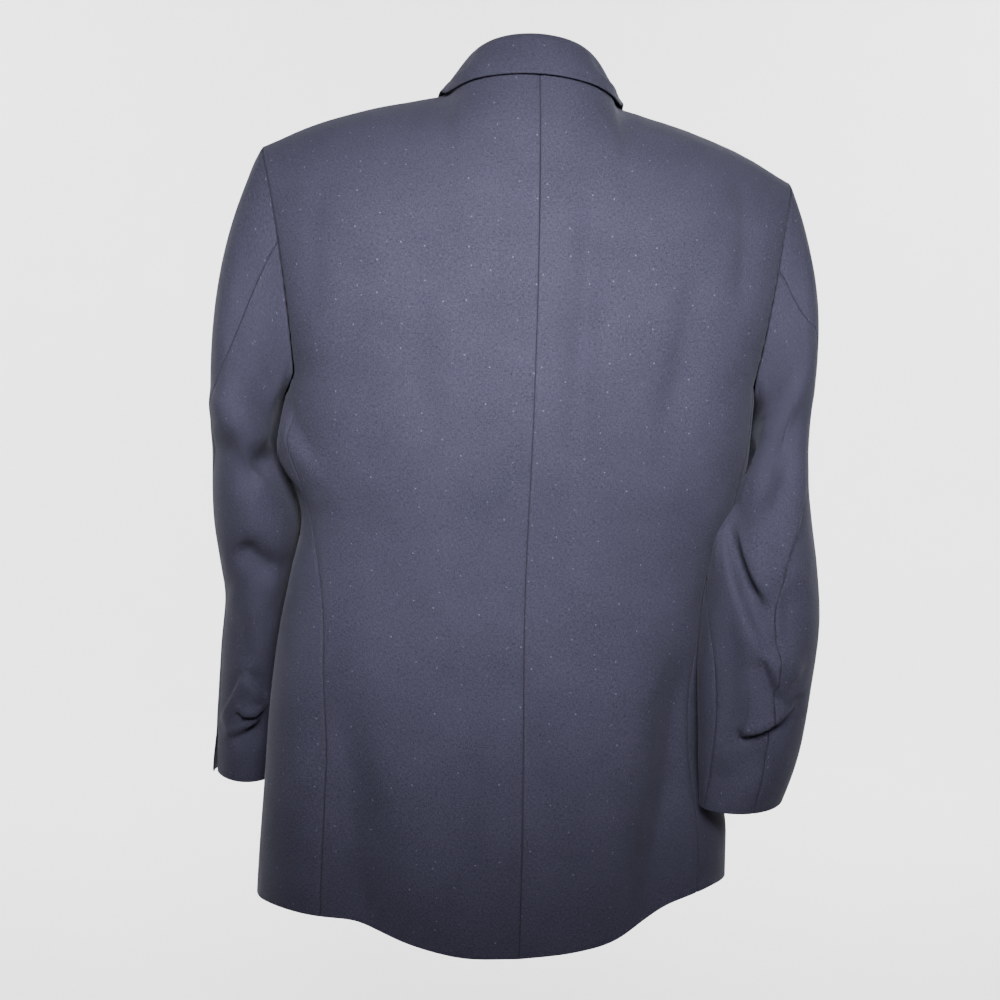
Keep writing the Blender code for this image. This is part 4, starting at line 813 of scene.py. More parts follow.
def armhole(folded, normals):
    """Where the sleeve starts: a closed ring just off the armhole's edge.

    It runs from the shoulder's tip down the back, under the arm and up the front.
    """
    high = slice(BODY_ROWS_LOW, None)
    back = folded["back"][high, -1][::-1]
    under = folded["side"][-1][1:-1]
    front = folded["front"][high, 0][:-1]
    straight_on = np.concatenate((
        unit(folded["back"][high, -1] - folded["back"][high, -2])[::-1],
        unit(folded["side"][-1] - folded["side"][-2])[1:-1],
        unit(folded["front"][high, 0] - folded["front"][high, 1])[:-1],
    ))
    outward = np.concatenate((
        normals["back"][high, -1][::-1],
        normals["side"][-1][1:-1],
        normals["front"][high, 0][:-1],
    ))
    ring = np.concatenate((back, under, front))
    turn = 2.0 * math.pi * np.linspace(0.0, 1.0, len(ring), endpoint=False)
    turned_back = (0.5 - 0.5 * np.cos(turn))[:, None]
    ring = ring + ARMHOLE_GAP * (1.0 - turned_back ** 2) * straight_on
    ring = ring + UNDERARM_GAP * turned_back * outward
    closed = np.concatenate((ring, ring[:1]))
    return closed, run_lengths(closed)


def sleeve_section(side, height, turn):
    """Points of the sleeve's oval at a height. turn is in radians from the outside, backwards."""
    table = LEFT_SLEEVE if side > 0 else RIGHT_SLEEVE
    size = {name: column(table, SLEEVE_COLUMNS, name, height) for name in SLEEVE_COLUMNS[1:]}
    lean = np.radians(size["turn"])
    out = size["half_thick"] * np.cos(turn)
    deep = size["half_deep"] * np.sin(turn)
    x = size["x"] + out * np.cos(lean) - deep * np.sin(lean)
    y = size["y"] + deep * np.cos(lean) + out * np.sin(lean)
    return np.stack((side * x, y, np.broadcast_to(height, np.shape(x))), axis=-1)


def sleeve_point(side, ring, along, turn, share):
    """A point of the sleeve's middle surface. share runs from the armhole (0) to the cuff (1)."""
    if share >= CAP_SHARE:
        down = (share - CAP_SHARE) / (1.0 - CAP_SHARE)
        return sleeve_section(side, SLEEVE_TOP + (CUFF_HEIGHT[side] - SLEEVE_TOP) * down, turn)
    place = (turn / (2.0 * math.pi)) % 1.0 * along[-1]
    start = np.array([np.interp(place, along, ring[:, axis]) for axis in range(3)])
    end = sleeve_section(side, SLEEVE_TOP, turn)
    below = sleeve_section(side, SLEEVE_TOP - 0.01, turn)
    length = np.linalg.norm(end - start)
    level = abs(math.sin(turn))
    leave = (1.0 - level) * np.array(SLEEVE_LEAVE[side]) + level * np.array(SLEEVE_LEAVE_SIDE)
    leave = unit(leave * (side, math.copysign(1.0, math.sin(turn)), 1.0))
    arrive = unit(below - end)
    t = share / CAP_SHARE
    ends = (1 + 2 * t) * (1 - t) ** 2 * start + t * t * (3 - 2 * t) * end
    return ends + length * (t * (1 - t) ** 2 * leave + t * t * (t - 1) * arrive)


def sleeve_relief(side, turns, heights):
    """Outward relief of the sleeve's folds."""
    relief = np.zeros_like(turns)
    for fold in LEFT_SLEEVE_FOLDS if side > 0 else RIGHT_SLEEVE_FOLDS:
        row = dict(zip(SLEEVE_FOLD_COLUMNS, fold))
        for end in ("along_a", "along_b"):
            row[end] = math.radians(row[end]) * SLEEVE_ROUND
        felt, beside = stroke(turns * SLEEVE_ROUND, heights, row)
        if row["kind"] == "step":
            felt = felt * np.tanh(-beside / (STEP_SHARE * row["half_width"]))
        relief += row["depth"] * felt
    return relief


def softened(values):
    """A grid of vectors, each averaged with its neighbours."""
    wide = np.pad(values, ((1, 1), (1, 1), (0, 0)), mode="edge")
    beside = wide[:-2, 1:-1] + wide[2:, 1:-1] + wide[1:-1, :-2] + wide[1:-1, 2:]
    return 0.5 * values + 0.125 * beside


def read_grid(points, rows, columns):
    """Reads a grid between its points, at fractional rows and columns."""
    i = np.clip(np.floor(rows).astype(int), 0, points.shape[0] - 2)
    j = np.clip(np.floor(columns).astype(int), 0, points.shape[1] - 2)
    u = (rows - i)[..., None]
    v = (columns - j)[..., None]
    low = (1 - v) * points[i, j] + v * points[i, j + 1]
    high = (1 - v) * points[i + 1, j] + v * points[i + 1, j + 1]
    return (1 - u) * low + u * high


def row_at_height(points, height):
    """The fractional row of a grid whose last column is nearest a height."""
    return float(np.interp(height, points[:, -1, 2], np.arange(len(points))))


def column_from_edge(points, row, distance):
    """The fractional column at a distance from a grid's last column, measured along a row."""
    low = int(min(math.floor(row), len(points) - 2))
    line = (low + 1 - row) * points[low] + (row - low) * points[low + 1]
    back_to = np.interp(distance, run_lengths(line[::-1]), np.arange(len(line)))
    return len(line) - 1 - float(back_to)


def neck_path(share, side, front):
    """The neck's edge from the centre back (0) to the collar's front end (1)."""
    if share <= COLLAR_SIDE:
        return posed(mirrored(neck_point(share / COLLAR_SIDE), side))
    run = (share - COLLAR_SIDE) / (1.0 - COLLAR_SIDE)
    height = front[-1, -1, 2] + (COLLAR_END_HEIGHT - front[-1, -1, 2]) * run
    row = row_at_height(front, height)
    return read_grid(front, np.array(row), np.array(float(front.shape[1] - 1)))


def surface_tree(points):
    """A search tree over a grid's middle surface."""
    rows, columns = points.shape[:2]
    corners = [Vector(tuple(float(value) for value in point)) for point in points.reshape(-1, 3)]
    faces = []
    for i in range(rows - 1):
        for j in range(columns - 1):
            a = i * columns + j
            faces.append((a, a + 1, a + columns + 1))
            faces.append((a, a + columns + 1, a + columns))
    return BVHTree.FromPolygons(corners, faces, all_triangles=True)


def refined(net, rows, columns):
    """Reads a net between its rows and columns on smooth curves."""
    down = read_curve(np.arange(net.shape[0]), net, rows)
    across = read_curve(np.arange(net.shape[1]), np.swapaxes(down, 0, 1), columns)
    return np.swapaxes(across, 0, 1)


def fine_places(cells, fine, cell_length):
    """Places along a side of a net: even ones, and close ones beside both ends."""
    even = np.linspace(0.0, cells, cells * fine + 1)
    close = EDGE_PLACES / cell_length
    clear = PLACES_CLEAR * close[-1]
    even = even[(even > clear) & (even < cells - clear)]
    return np.concatenate((close, even, cells - close[::-1]))


def edge_distances(points):
    """How far each point lies from the four sides of its grid, measured on the cloth."""
    across = run_lengths(points, axis=1)
    up = run_lengths(points)
    return {
        "first_column": across,
        "last_column": across[:, -1:] - across,
        "first_row": up,
        "last_row": up[-1:] - up,
    }


def crease_relief(points, creases):
    """Outward relief of a table of creases, at points seen square on from behind or in front."""
    x = points[..., 0]
    z = points[..., 2]
    relief = np.zeros_like(x)
    steps = np.linspace(0.0, 1.0, CREASE_STEPS + 1)
    for crease in creases:
        row = dict(zip(CREASE_COLUMNS, crease))
        start, middle, end = (np.array((row[f"x_{k}"], row[f"z_{k}"])) for k in "abc")
        pull = 2.0 * middle - 0.5 * (start + end)
        line = ((1 - steps) ** 2)[:, None] * start + (2 * steps * (1 - steps))[:, None] * pull
        line = line + (steps ** 2)[:, None] * end
        reach = CREASE_REACH * row["width"]
        low = line.min(axis=0) - reach
        high = line.max(axis=0) + reach
        near = (x > low[0]) & (x < high[0]) & (z > low[1]) & (z < high[1])
        spots = np.stack((x[near], z[near]), axis=1)
        best = np.full(len(spots), np.inf)
        beside = np.zeros(len(spots))
        ahead = np.zeros(len(spots))
        for k in range(CREASE_STEPS):
            run = line[k + 1] - line[k]
            offset = spots - line[k]
            share = np.clip(offset @ run / (run @ run), 0.0, 1.0)
            away = np.linalg.norm(offset - share[:, None] * run, axis=1)
            closer = away < best
            best = np.where(closer, away, best)
            side = np.where(run[0] * offset[:, 1] - run[1] * offset[:, 0] >= 0.0, 1.0, -1.0)
            beside = np.where(closer, side * away, beside)
            ahead = np.where(closer, (k + share) / CREASE_STEPS, ahead)
        ends = smooth_step(ahead / CREASE_FADE) * smooth_step((1.0 - ahead) / CREASE_FADE)
        if row["kind"] == "soft":
            felt = np.exp(-0.5 * (beside / row["width"]) ** 2)
        else:
            felt = np.tanh(beside / (LEDGE_SHARP * row["width"]))
            felt = felt * np.exp(-np.abs(beside) / row["width"])
        relief[near] += row["depth"] * ends * felt
    return relief


def creased(points, normals, back_creases, front_creases):
    """Points with their creases, each felt only where the cloth faces the side that shows it."""
    strength = bpy.context.scene.blazer_sizes.crease_depth
    behind = smooth_step(normals[..., 1] / PUSH_FROM_SIDE) * crease_relief(points, back_creases)
    before = smooth_step(-normals[..., 1] / PUSH_FROM_SIDE) * crease_relief(points, front_creases)
    return points + normals * (strength * (behind + before))[..., None]


def rounded(away, width, thin):
    """Share of the cloth's thickness at a distance from a rounded edge."""
    share = np.clip(away / width, 0.0, 1.0)
    return np.maximum(np.sqrt(1.0 - (1.0 - share) ** 2), thin)


def wall_faces(rows, columns):
    """Faces of a closed wall: an outer grid of points, an inner one behind it and the rim between."""
    back = rows * columns
    index = np.arange(back).reshape(rows, columns)
    corners = (index[:-1, :-1], index[:-1, 1:], index[1:, 1:], index[1:, :-1])
    quads = np.stack(corners, axis=-1).reshape(-1, 4)
    rim = np.concatenate((index[0], index[1:, -1], index[-1, -2::-1], index[-2:0:-1, 0]))
    after = np.roll(rim, -1)
    band = np.stack((rim, back + rim, back + after, after), axis=-1)
    return np.concatenate((quads, back + quads[:, ::-1], band))


def cloth_wall(name, points, outward, seams, places=None):
    """A thin wall of cloth round a grid of middle points, with rounded edges and drawn-in seams."""
    thick = bpy.context.scene.blazer_sizes.cloth
    normals = grid_normals(points, outward)
    away = edge_distances(points)
    seam = np.full(points.shape[:2], np.inf)
    half = np.full(points.shape[:2], 0.5 * thick)
    for side in away:
        if side in seams:
            seam = np.minimum(seam, away[side])
            half = np.minimum(half, 0.5 * thick * rounded(away[side], SEAM_ROUND, SEAM_THIN))
        else:
            half = np.minimum(half, 0.5 * thick * rounded(away[side], EDGE_ROUND, EDGE_THIN))
    length = points[..., 2] + PUCKER_SLANT * points[..., 0]
    wave = length * 2.0 * math.pi / PUCKER_LENGTH + 2.0 * np.sin(length * PUCKER_UNEVEN)
    pucker = 1.0 + PUCKER_SHARE * np.sin(wave)
    dip = bpy.context.scene.blazer_sizes.seam_depth * np.exp(-(seam / SEAM_SPREAD) ** 2) * pucker
    points = points - normals * dip[..., None]
    tucks = (("first_column", np.s_[:, 0], np.s_[:, 1]), ("last_column", np.s_[:, -1], np.s_[:, -2]))
    for side, edge, beside in tucks:
        if side in seams:
            points[edge] += SEAM_TUCK * unit(points[edge] - points[beside])
    outer = points + normals * half[..., None]
    inner = points - normals * half[..., None]
    rows, columns = points.shape[:2]
    faces = wall_faces(rows, columns)
    vertices = np.concatenate((outer.reshape(-1, 3), inner.reshape(-1, 3)))
    middle = faces[(rows // 2) * (columns - 1) + columns // 2]
    corner, along, across = vertices[middle[0]], vertices[middle[1]], vertices[middle[3]]
    if np.dot(np.cross(along - corner, across - corner), normals[rows // 2, columns // 2]) < 0.0:
        faces = faces[:, ::-1]
    piece = mesh_piece(name, vertices, faces.tolist())
    layer = piece.data.attributes.new("cloth", "FLOAT_VECTOR", "POINT")
    if places is None:
        places = np.stack((away["first_column"], away["first_row"]), axis=-1)
    places = places + PIECE_APART * len(bpy.data.meshes)
    places = np.concatenate((places, np.zeros((rows, columns, 1))), axis=-1).reshape(-1, 3)
    layer.data.foreach_set("vector", np.concatenate((places, places)).ravel())
    # The seam attribute is a mask of painted shade: a dark line along each seam's groove
    layer = piece.data.attributes.new("seam", "FLOAT", "POINT")
    line = np.exp(-(seam / SEAM_SHADE_HALF_WIDTH) ** 2).ravel()
    layer.data.foreach_set("value", np.concatenate((line, line)))
    piece.data.materials.append(finish("worsted_navy_wool_twill", wool))
    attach(piece, "root")
    return piece


def mesh_piece(name, vertices, faces):
    """A smooth-shaded object from points and faces."""
    mesh = bpy.data.meshes.new(name)
    mesh.from_pydata(np.asarray(vertices, float).tolist(), [], faces)
    mesh.update()
    mesh.shade_smooth()
    piece = bpy.data.objects.new(name, mesh)
    bpy.context.scene.collection.objects.link(piece)
    return piece


# Nets and fine panels are worked out once and kept here
NETS = {}
PANELS = {}


def nets(side):
    """The nets of one half: even form, distances round, normals, and the same posed and folded."""
    if side not in NETS:
        even, places = half_body(side)
        normals = shared_normals(even)
        posed_points = {}
        posed_normals = {}
        for name in even:
            made = folded(side, name, even[name], places[name], normals[name])
            posed_points[name], posed_normals[name] = made
        NETS[side] = {
            "even": even,
            "places": places,
            "normals": normals,
            "posed": posed_points,
            "posed_normals": posed_normals,
        }
    return NETS[side]


def folded(side, name, points, places, normals):
    """Points and normals of a panel with the form's own folds, turned into the pose."""
    points = points + normals * body_relief(side, places, points[..., 2])[..., None]
    if name == "front":
        lap = np.clip((LAP_REACH - np.abs(points[..., 0])) / LAP_FADE, 0.0, 1.0)
        under_top = BREAK_HEIGHT + LAP_ABOVE_BREAK - points[..., 2]
        low = np.clip(under_top / (0.5 * LAP_ABOVE_BREAK), 0.0, 1.0)
        points = points + normals * (side * LAP_SHIFT * lap * low)[..., None]
    heights = points[..., 2]
    return posed(mirrored(points, side)), turned(mirrored(normals, side), heights)


def fine_panel(side, name):
    """A body panel's fine middle points and normals, with its folds and creases, worked out once."""
    if (side, name) not in PANELS:
        PANELS[side, name] = worked_panel(side, name)
    return PANELS[side, name]


def worked_panel(side, name):
    """Works out a body panel's fine points and normals."""
    net = nets(side)
    even = net["even"][name]
    lengths = [np.linalg.norm(np.diff(even, axis=axis), axis=2).mean() for axis in (0, 1)]
    rows = fine_places(even.shape[0] - 1, BODY_FINE, lengths[0])
    columns = fine_places(even.shape[1] - 1, BODY_FINE, lengths[1])
    read = (refined(net[key][name], rows, columns) for key in ("even", "places", "normals"))
    points, places, normals = read
    points, normals = folded(side, name, points, places, unit(normals))
    return creased(points, normals, BACK_CREASES, FRONT_CREASES), normals


def nearest_on(trees, signs, target):
    """The nearest point of the panels to a target, and which way the panel faces there."""
    best = None
    for tree, sign in zip(trees, signs):
        place, facing, _, distance = tree.find_nearest(Vector(tuple(float(value) for value in target)))
        if best is None or distance < best[0]:
            best = (distance, np.array(place), np.array(facing) * sign)
    return best[1:]


def panel_trees(grids, normals):
    """Search trees of some panels, and on which side each tree's faces look out."""
    trees = []
    signs = []
    for name in grids:
        tree = surface_tree(grids[name])
        rows, columns = grids[name].shape[:2]
        spot = grids[name][rows // 2, columns // 2]
        facing = tree.find_nearest(Vector(tuple(float(value) for value in spot)))[1]
        trees.append(tree)
        outward = normals[name][rows // 2, columns // 2]
        signs.append(1.0 if np.dot(np.array(facing), outward) > 0.0 else -1.0)
    return trees, signs


def clear_of_body(points, trees, signs, shares):
    """How far each of a sleeve's points has to move to keep its least distance from the body."""
    run = np.minimum(1.0, shares / CLEAR_FROM_SHARE)[:, None]
    felt = np.clip(np.minimum(run, (CLEAR_BELOW - points[..., 2]) / CLEAR_RUN), 0.0, 1.0)
    pushed = np.zeros_like(points)
    for last in (False, False, True):
        for i, j in np.argwhere(felt > 0.0):
            spot = points[i, j] + pushed[i, j]
            place, facing = nearest_on(trees, signs, spot)
            short = SLEEVE_CLEAR * felt[i, j] - np.dot(spot - place, facing)
            pushed[i, j] += facing * max(short, 0.0)
        if not last:
            for _ in range(CLEAR_SOFTENINGS):
                pushed = softened(pushed)
            pushed = pushed * np.minimum(1.0, 4.0 * felt)[..., None]
    return pushed


def sleeve_net(side, part):
    """A sleeve part's net: points before its folds, turns round the sleeve, and the move off the body."""
    net = nets(side)
    seams = LEFT_SLEEVE_SEAMS if side > 0 else RIGHT_SLEEVE_SEAMS
    spans = TOP_SLEEVE_SPANS if part == "top" else UNDER_SLEEVE_SPANS
    ring, along = armhole(net["posed"], net["posed_normals"])
    points = np.zeros((SLEEVE_ROWS + 1, spans + 3, 3))
    turns = np.zeros((SLEEVE_ROWS + 1, spans + 3))
    shares = np.linspace(0.0, 1.0, SLEEVE_ROWS + 1)
    for i, share in enumerate(shares):
        hind = math.radians(float(column(seams, SLEEVE_SEAM_COLUMNS, "hind", share)))
        fore = math.radians(float(column(seams, SLEEVE_SEAM_COLUMNS, "fore", share)))
        first, last = (fore - 2.0 * math.pi, hind) if part == "top" else (hind, fore)
        for j in range(-1, spans + 2):
            turns[i, j + 1] = first + (last - first) * j / spans
            points[i, j + 1] = sleeve_point(side, ring, along, turns[i, j + 1], share)
    outward = sleeve_outward(side, part)
    relief = sleeve_relief(side, turns % (2.0 * math.pi), points[..., 2])
    with_folds = points + grid_normals(points, outward) * relief[..., None]
    trees, signs = panel_trees(net["posed"], net["posed_normals"])
    return points, turns, clear_of_body(with_folds, trees, signs, shares)


def sleeve_outward(side, part):
    """Roughly which way the middle of a sleeve part faces."""
    return (side * 1.0, 0.0, 0.1) if part == "top" else (0.0, 1.0, 0.0)


def fine_sleeve(side):
    """Fine middle points of both sleeve parts, which share their seams, and their places on the cloth."""
    made = {}
    for part in ("top", "under"):
        points, turns, moved = sleeve_net(side, part)
        rows = fine_places(SLEEVE_ROWS, SLEEVE_FINE, np.linalg.norm(np.diff(points, axis=0), axis=2).mean())
        inside = points.shape[1] - 3
        step = np.linalg.norm(np.diff(points, axis=1), axis=2).mean()
        fine = 1.0 + fine_places(inside, SLEEVE_FINE, step)
        columns = np.concatenate(((0.0,), fine, (inside + 2.0,)))
        points, turns, moved = (refined(net, rows, columns) for net in (points, turns, moved))
        outward = sleeve_outward(side, part)
        relief = sleeve_relief(side, turns % (2.0 * math.pi), points[..., 2])
        points = points + grid_normals(points, outward) * relief[..., None] + moved
        normals = grid_normals(points, outward)
        down = np.broadcast_to((rows * CUFF_TO_CAP / SLEEVE_ROWS)[:, None], turns.shape)
        places = np.stack((turns * SLEEVE_ROUND, down), axis=-1)
        made[part] = [points[:, 1:-1], normals[:, 1:-1], places[:, 1:-1]]
    for here, there in ((-1, 0), (0, -1)):
        for k in (0, 1):
            shared = 0.5 * (made["top"][k][:, here] + made["under"][k][:, there])
            shared = unit(shared) if k else shared
            made["top"][k][:, here] = shared
            made["under"][k][:, there] = shared
    behind = LEFT_SLEEVE_BACK_CREASES if side > 0 else RIGHT_SLEEVE_BACK_CREASES
    before = LEFT_SLEEVE_FRONT_CREASES if side > 0 else RIGHT_SLEEVE_FRONT_CREASES
    for part, (points, normals, places) in made.items():
        points = creased(points, normals, behind, before)
        if side < 0:
            reach = np.exp(-(((points[..., 2] - FILL_OUT_MIDDLE) / FILL_OUT_RUN) ** 2))
            inwards = (points[..., 0] - FILL_OUT_FROM) / FILL_OUT_OVER
            points[..., 0] += FILL_OUT * reach * smooth_step(inwards)
        if side > 0 and part == "top":
            away = edge_distances(points)
            lift = smooth_step(1.0 - away["last_column"] / VENT_REACH)
            lift = lift * smooth_step(1.0 - away["last_row"] / VENT_HEIGHT)
            points = points + normals * (VENT_OPEN * lift)[..., None]
        points[0] += CAP_TUCK * unit(points[0] - points[1])
        made[part] = (points, places)
    return made


# Which sides of each body panel are seams and which way each faces, and how finely the lapel and collar are
# laid out
BODY_SEAMS = {
    "back": ("first_column", "last_column", "last_row"),
    "side": ("first_column", "last_column", "last_row"),
    "front": ("first_column", "last_row"),
}
FACING = {"back": (0.2, 1.0, 0.0), "side": (1.0, 0.0, 0.0), "front": (0.2, -1.0, 0.0)}
LAPEL_FINE = 5
LAPEL_ROLL_TURNS = (28.0, 55.0, 82.0, 109.0, 136.0, 163.0)  # degrees round the roll line
COLLAR_SECTION_FINE = 40      # cells from the foot of the stand to the fall's edge


def lapel_points(side):
    """The turned-out lapel's middle points: the front's own points moved out, and the roll beside it."""
    front, facing = fine_panel(side, "front")
    first = row_at_height(front, LAPEL_START[side])
    last = row_at_height(front, LAPEL_TOP)
    slant = last - row_at_height(front, LAPEL_TOP - LAPEL_TOP_SLANT)
    rows = fine_places(LAPEL_ROWS, LAPEL_FINE, LAPEL_LONG / LAPEL_ROWS) / LAPEL_ROWS
    runs = fine_places(LAPEL_SPANS, LAPEL_FINE, LAPEL_WIDE / LAPEL_SPANS) / LAPEL_SPANS
    runs = runs[len(EDGE_PLACES):]
    runs = np.concatenate(((0.0,), runs))
    roll = np.radians(LAPEL_ROLL_TURNS)
    points = np.zeros((len(rows), len(roll) + len(runs), 3))
    for i, share in enumerate(rows):
        width = float(column(LAPEL, LAPEL_COLUMNS, "width", share))
        row = first + (last - first) * share - slant * runs * share ** LAPEL_SLANT_POWER
        insets = LAPEL_INSET + width * runs
        across = np.array([column_from_edge(front, at, inset) for at, inset in zip(row, insets)])
        place = read_grid(front, row, across)
        normal = unit(read_grid(facing, row, across))
        swell = np.sin(math.pi * runs) * math.sin(math.pi * min(1.0, share + LAPEL_SWELL_FROM))
        lift = LAID_ON + LIFT * np.minimum(1.0, LAPEL_LIFT_RUN * runs) + LAPEL_BELLY * swell
        points[i, len(roll):] = place + normal * lift[:, None]
        beyond = unit(place[0] - place[2])
        turn = np.sin(roll)[:, None] * beyond + (1.0 - np.cos(roll))[:, None] * normal[0]
        points[i, :len(roll)] = place[0] + 0.5 * LAID_ON * turn
    return points


def collar_net():
    """The collar's net: sections from the foot of the stand, over the fold, to the fall's edge."""
    halves = {side: nets(side) for side in (1, -1)}
    trees = []
    signs = []
    for net in halves.values():
        upper = {name: net["posed"][name] for name in ("back", "front")}
        more, out = panel_trees(upper, net["posed_normals"])
        trees += more
        signs += out
    stations = np.linspace(-1.0, 1.0, COLLAR_STATIONS)
    seam = []
    for station in stations:
        side = 1 if station >= 0.0 else -1
        seam.append(neck_path(abs(station), side, halves[side]["posed"]["front"]))
    seam = np.array(seam)
    up = np.array((0.0, 0.0, 1.0))
    outward = unit(np.cross(up, unit(np.gradient(seam, axis=0))))
    if outward[len(stations) // 2, 1] < 0.0:
        outward = -outward
    sections = []
    for station, foot, out in zip(stations, seam, outward):
        at = abs(station)
        size = {name: float(column(COLLAR, COLLAR_COLUMNS, name, at)) for name in COLLAR_COLUMNS[1:]}
        foot = foot + up * COLLAR_FOOT_UP - out * COLLAR_FOOT_IN
        stand = up * size["stand"] - out * size["lean"]
        lean = stand / np.linalg.norm(stand)
        aside = out * lean[2] - up * np.dot(lean, out)
        section = [foot, foot + 0.5 * stand - aside * COLLAR_HOLLOW]
        for turn in COLLAR_TURNS:
            across = 1.0 - math.cos(math.radians(turn))
            over = math.sin(math.radians(turn))
            section.append(foot + stand + COLLAR_FOLD * (aside * across + lean * over))
        fold = section[-1]
        edge = foot + out * size["out"] - up * size["down"]
        near_shoulder = max(0.0, 1.0 - abs(at - COLLAR_SIDE) / COLLAR_OVER_RUN)
        for share in FALL_SHARES:
            swell = COLLAR_BELLY * math.sin(math.pi * share)
            target = fold + (edge - fold) * share + (out + COLLAR_BELLY_UP * up) * swell
            place, facing = nearest_on(trees, signs, target)
            if share == 1.0 or np.dot(target - place, facing) < COLLAR_ON:
                target = place + facing * COLLAR_ON + up * (COLLAR_OVER * near_shoulder)
            section.append(target)
        sections.append(section)
    return np.array(sections)


def fine_collar():
    """The collar's fine middle points."""
    net = collar_net()
    steps = np.linalg.norm(np.diff(net, axis=1), axis=2).mean(axis=0)
    knots = np.concatenate(((0.0,), np.cumsum(steps)))
    even = np.linspace(0.0, knots[-1], COLLAR_SECTION_FINE + 1)[2:-2]
    reads = np.concatenate((EDGE_PLACES, even[even > EDGE_PLACES[-1]], knots[-1] - EDGE_PLACES[::-1]))
    rows = fine_places(COLLAR_STATIONS - 1, COLLAR_FINE, COLLAR_LONG / COLLAR_STATIONS)
    along = read_curve(np.arange(COLLAR_STATIONS), net, rows)
    return np.swapaxes(read_curve(knots, np.swapaxes(along, 0, 1), np.sort(reads)), 0, 1)


def front_spot(height):
    """The place and facing of a button on the wearer's left front, at a height."""
    front, facing = fine_panel(1, "front")
    past = float(column(FRONT_EDGE, EDGE_COLUMNS, "past_centre", height))
    row = row_at_height(front, height)
    across = np.array(column_from_edge(front, row, past))
    return read_grid(front, np.array(row), across), unit(read_grid(facing, np.array(row), across))


# Buttons: a turned rim, a dished middle and four sewing holes
BUTTON_RINGS = 26
BUTTON_SPOKES = 72
BUTTON_RIM_COLUMNS = ("reach", "rise")
BUTTON_RIM = (
    (0.00, 0.62),
    (0.40, 0.64),
    (0.58, 0.70),
    (0.72, 0.96),
    (0.82, 1.02),
    (0.92, 0.92),
    (0.985, 0.66),
    (1.00, 0.45),
)
BUTTON_CROWDING = 0.8         # below 1, its rings stand closer near the rim
BUTTON_CHAMFER = 0.12         # share of its thickness by which its lower rim is turned off
BUTTON_UNDER = (0.97, 0.80)   # reach of the two rings underneath
HOLE_FROM_MIDDLE = 0.0024
HOLE_RADIUS = 0.0009
HOLE_REACH = 1.35             # radii from its middle at which a hole's soft wall begins
HOLE_DEPTH = 0.0016
THREAD_RADIUS = 0.00032
THREAD_STRANDS = 3
THREAD_PITCH = 1.7            # radii from one strand's middle to the next
THREAD_POINTS = 13            # points along a strand
THREAD_LOW = 0.62             # a strand's height at the holes, in shares of the button's thickness
THREAD_HUMP = 0.22            # how much higher it lies between them
THREAD_DIVE = 0.40            # how far its ends go down into the holes
THREAD_CROSSING = 0.0004      # how far the upper bundle clears the lower one
THREAD_ASIDE = (0.31, 0.52, 0.79)  # a heading that no thread has, to find its sides
BUTTONHOLE_LONG = 0.0180
BUTTONHOLE_WIDE = 0.0009
BUTTONHOLE_SLIT = 0.0003      # half the open slit
BUTTONHOLE_FROM = 0.0060      # from the button's middle to the hole's end
STITCH_RISE = 0.00022
BUTTONHOLE_PITCH = 0.0009     # from one stitch to the next
STITCH_SIDES = 6


def button_axes(normal):
    """Across and up in a button's own plane."""
    across = unit(np.cross(normal, (0.0, 0.0, 1.0)))
    return across, np.cross(across, normal)


def button_piece(name, centre, normal):
    """A turned horn button, closed underneath."""
    across, up = button_axes(normal)
    radius = bpy.context.scene.blazer_sizes.button_radius
    reach = np.linspace(0.0, 1.0, BUTTON_RINGS + 1)[1:] ** BUTTON_CROWDING
    turn = 2.0 * math.pi * np.arange(BUTTON_SPOKES) / BUTTON_SPOKES
    spoke = np.cos(turn)[:, None] * across + np.sin(turn)[:, None] * up
    flat = radius * reach[:, None, None] * spoke[None]
    rise = column(BUTTON_RIM, BUTTON_RIM_COLUMNS, "rise", reach)
    rise = BUTTON_THICK * rise[:, None] * np.ones(BUTTON_SPOKES)
    for a in (-1.0, 1.0):
        for b in (-1.0, 1.0):
            hole = HOLE_FROM_MIDDLE * math.sqrt(0.5) * (a * across + b * up)
            away = np.linalg.norm(flat - hole, axis=2)
            rise = rise - HOLE_DEPTH * smooth_step(HOLE_REACH - away / HOLE_RADIUS)
    top = (centre + flat + rise[..., None] * normal).reshape(-1, 3)
    under = (centre + radius * np.array(BUTTON_UNDER)[:, None, None] * spoke).reshape(-1, 3)
    under[:BUTTON_SPOKES] += BUTTON_THICK * BUTTON_CHAMFER * normal
    middle_top = centre + BUTTON_THICK * BUTTON_RIM[0][1] * normal
    vertices = np.concatenate((top, under, [middle_top, centre]))
    rings = BUTTON_RINGS + 2
    index = np.arange(rings * BUTTON_SPOKES).reshape(rings, BUTTON_SPOKES)
    after = np.roll(index, -1, axis=1)
    quads = np.stack((index[:-1], index[1:], after[1:], after[:-1]), axis=-1).reshape(-1, 4).tolist()
    last = rings * BUTTON_SPOKES
    faces = quads + [[last, int(a), int(b)] for a, b in zip(index[0], after[0])]
    faces += [[last + 1, int(b), int(a)] for a, b in zip(index[-1], after[-1])]
    piece = mesh_piece(name, vertices, faces)
    piece.data.materials.append(finish("polished_dark_horn", horn))
    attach(piece, "root")
    return piece


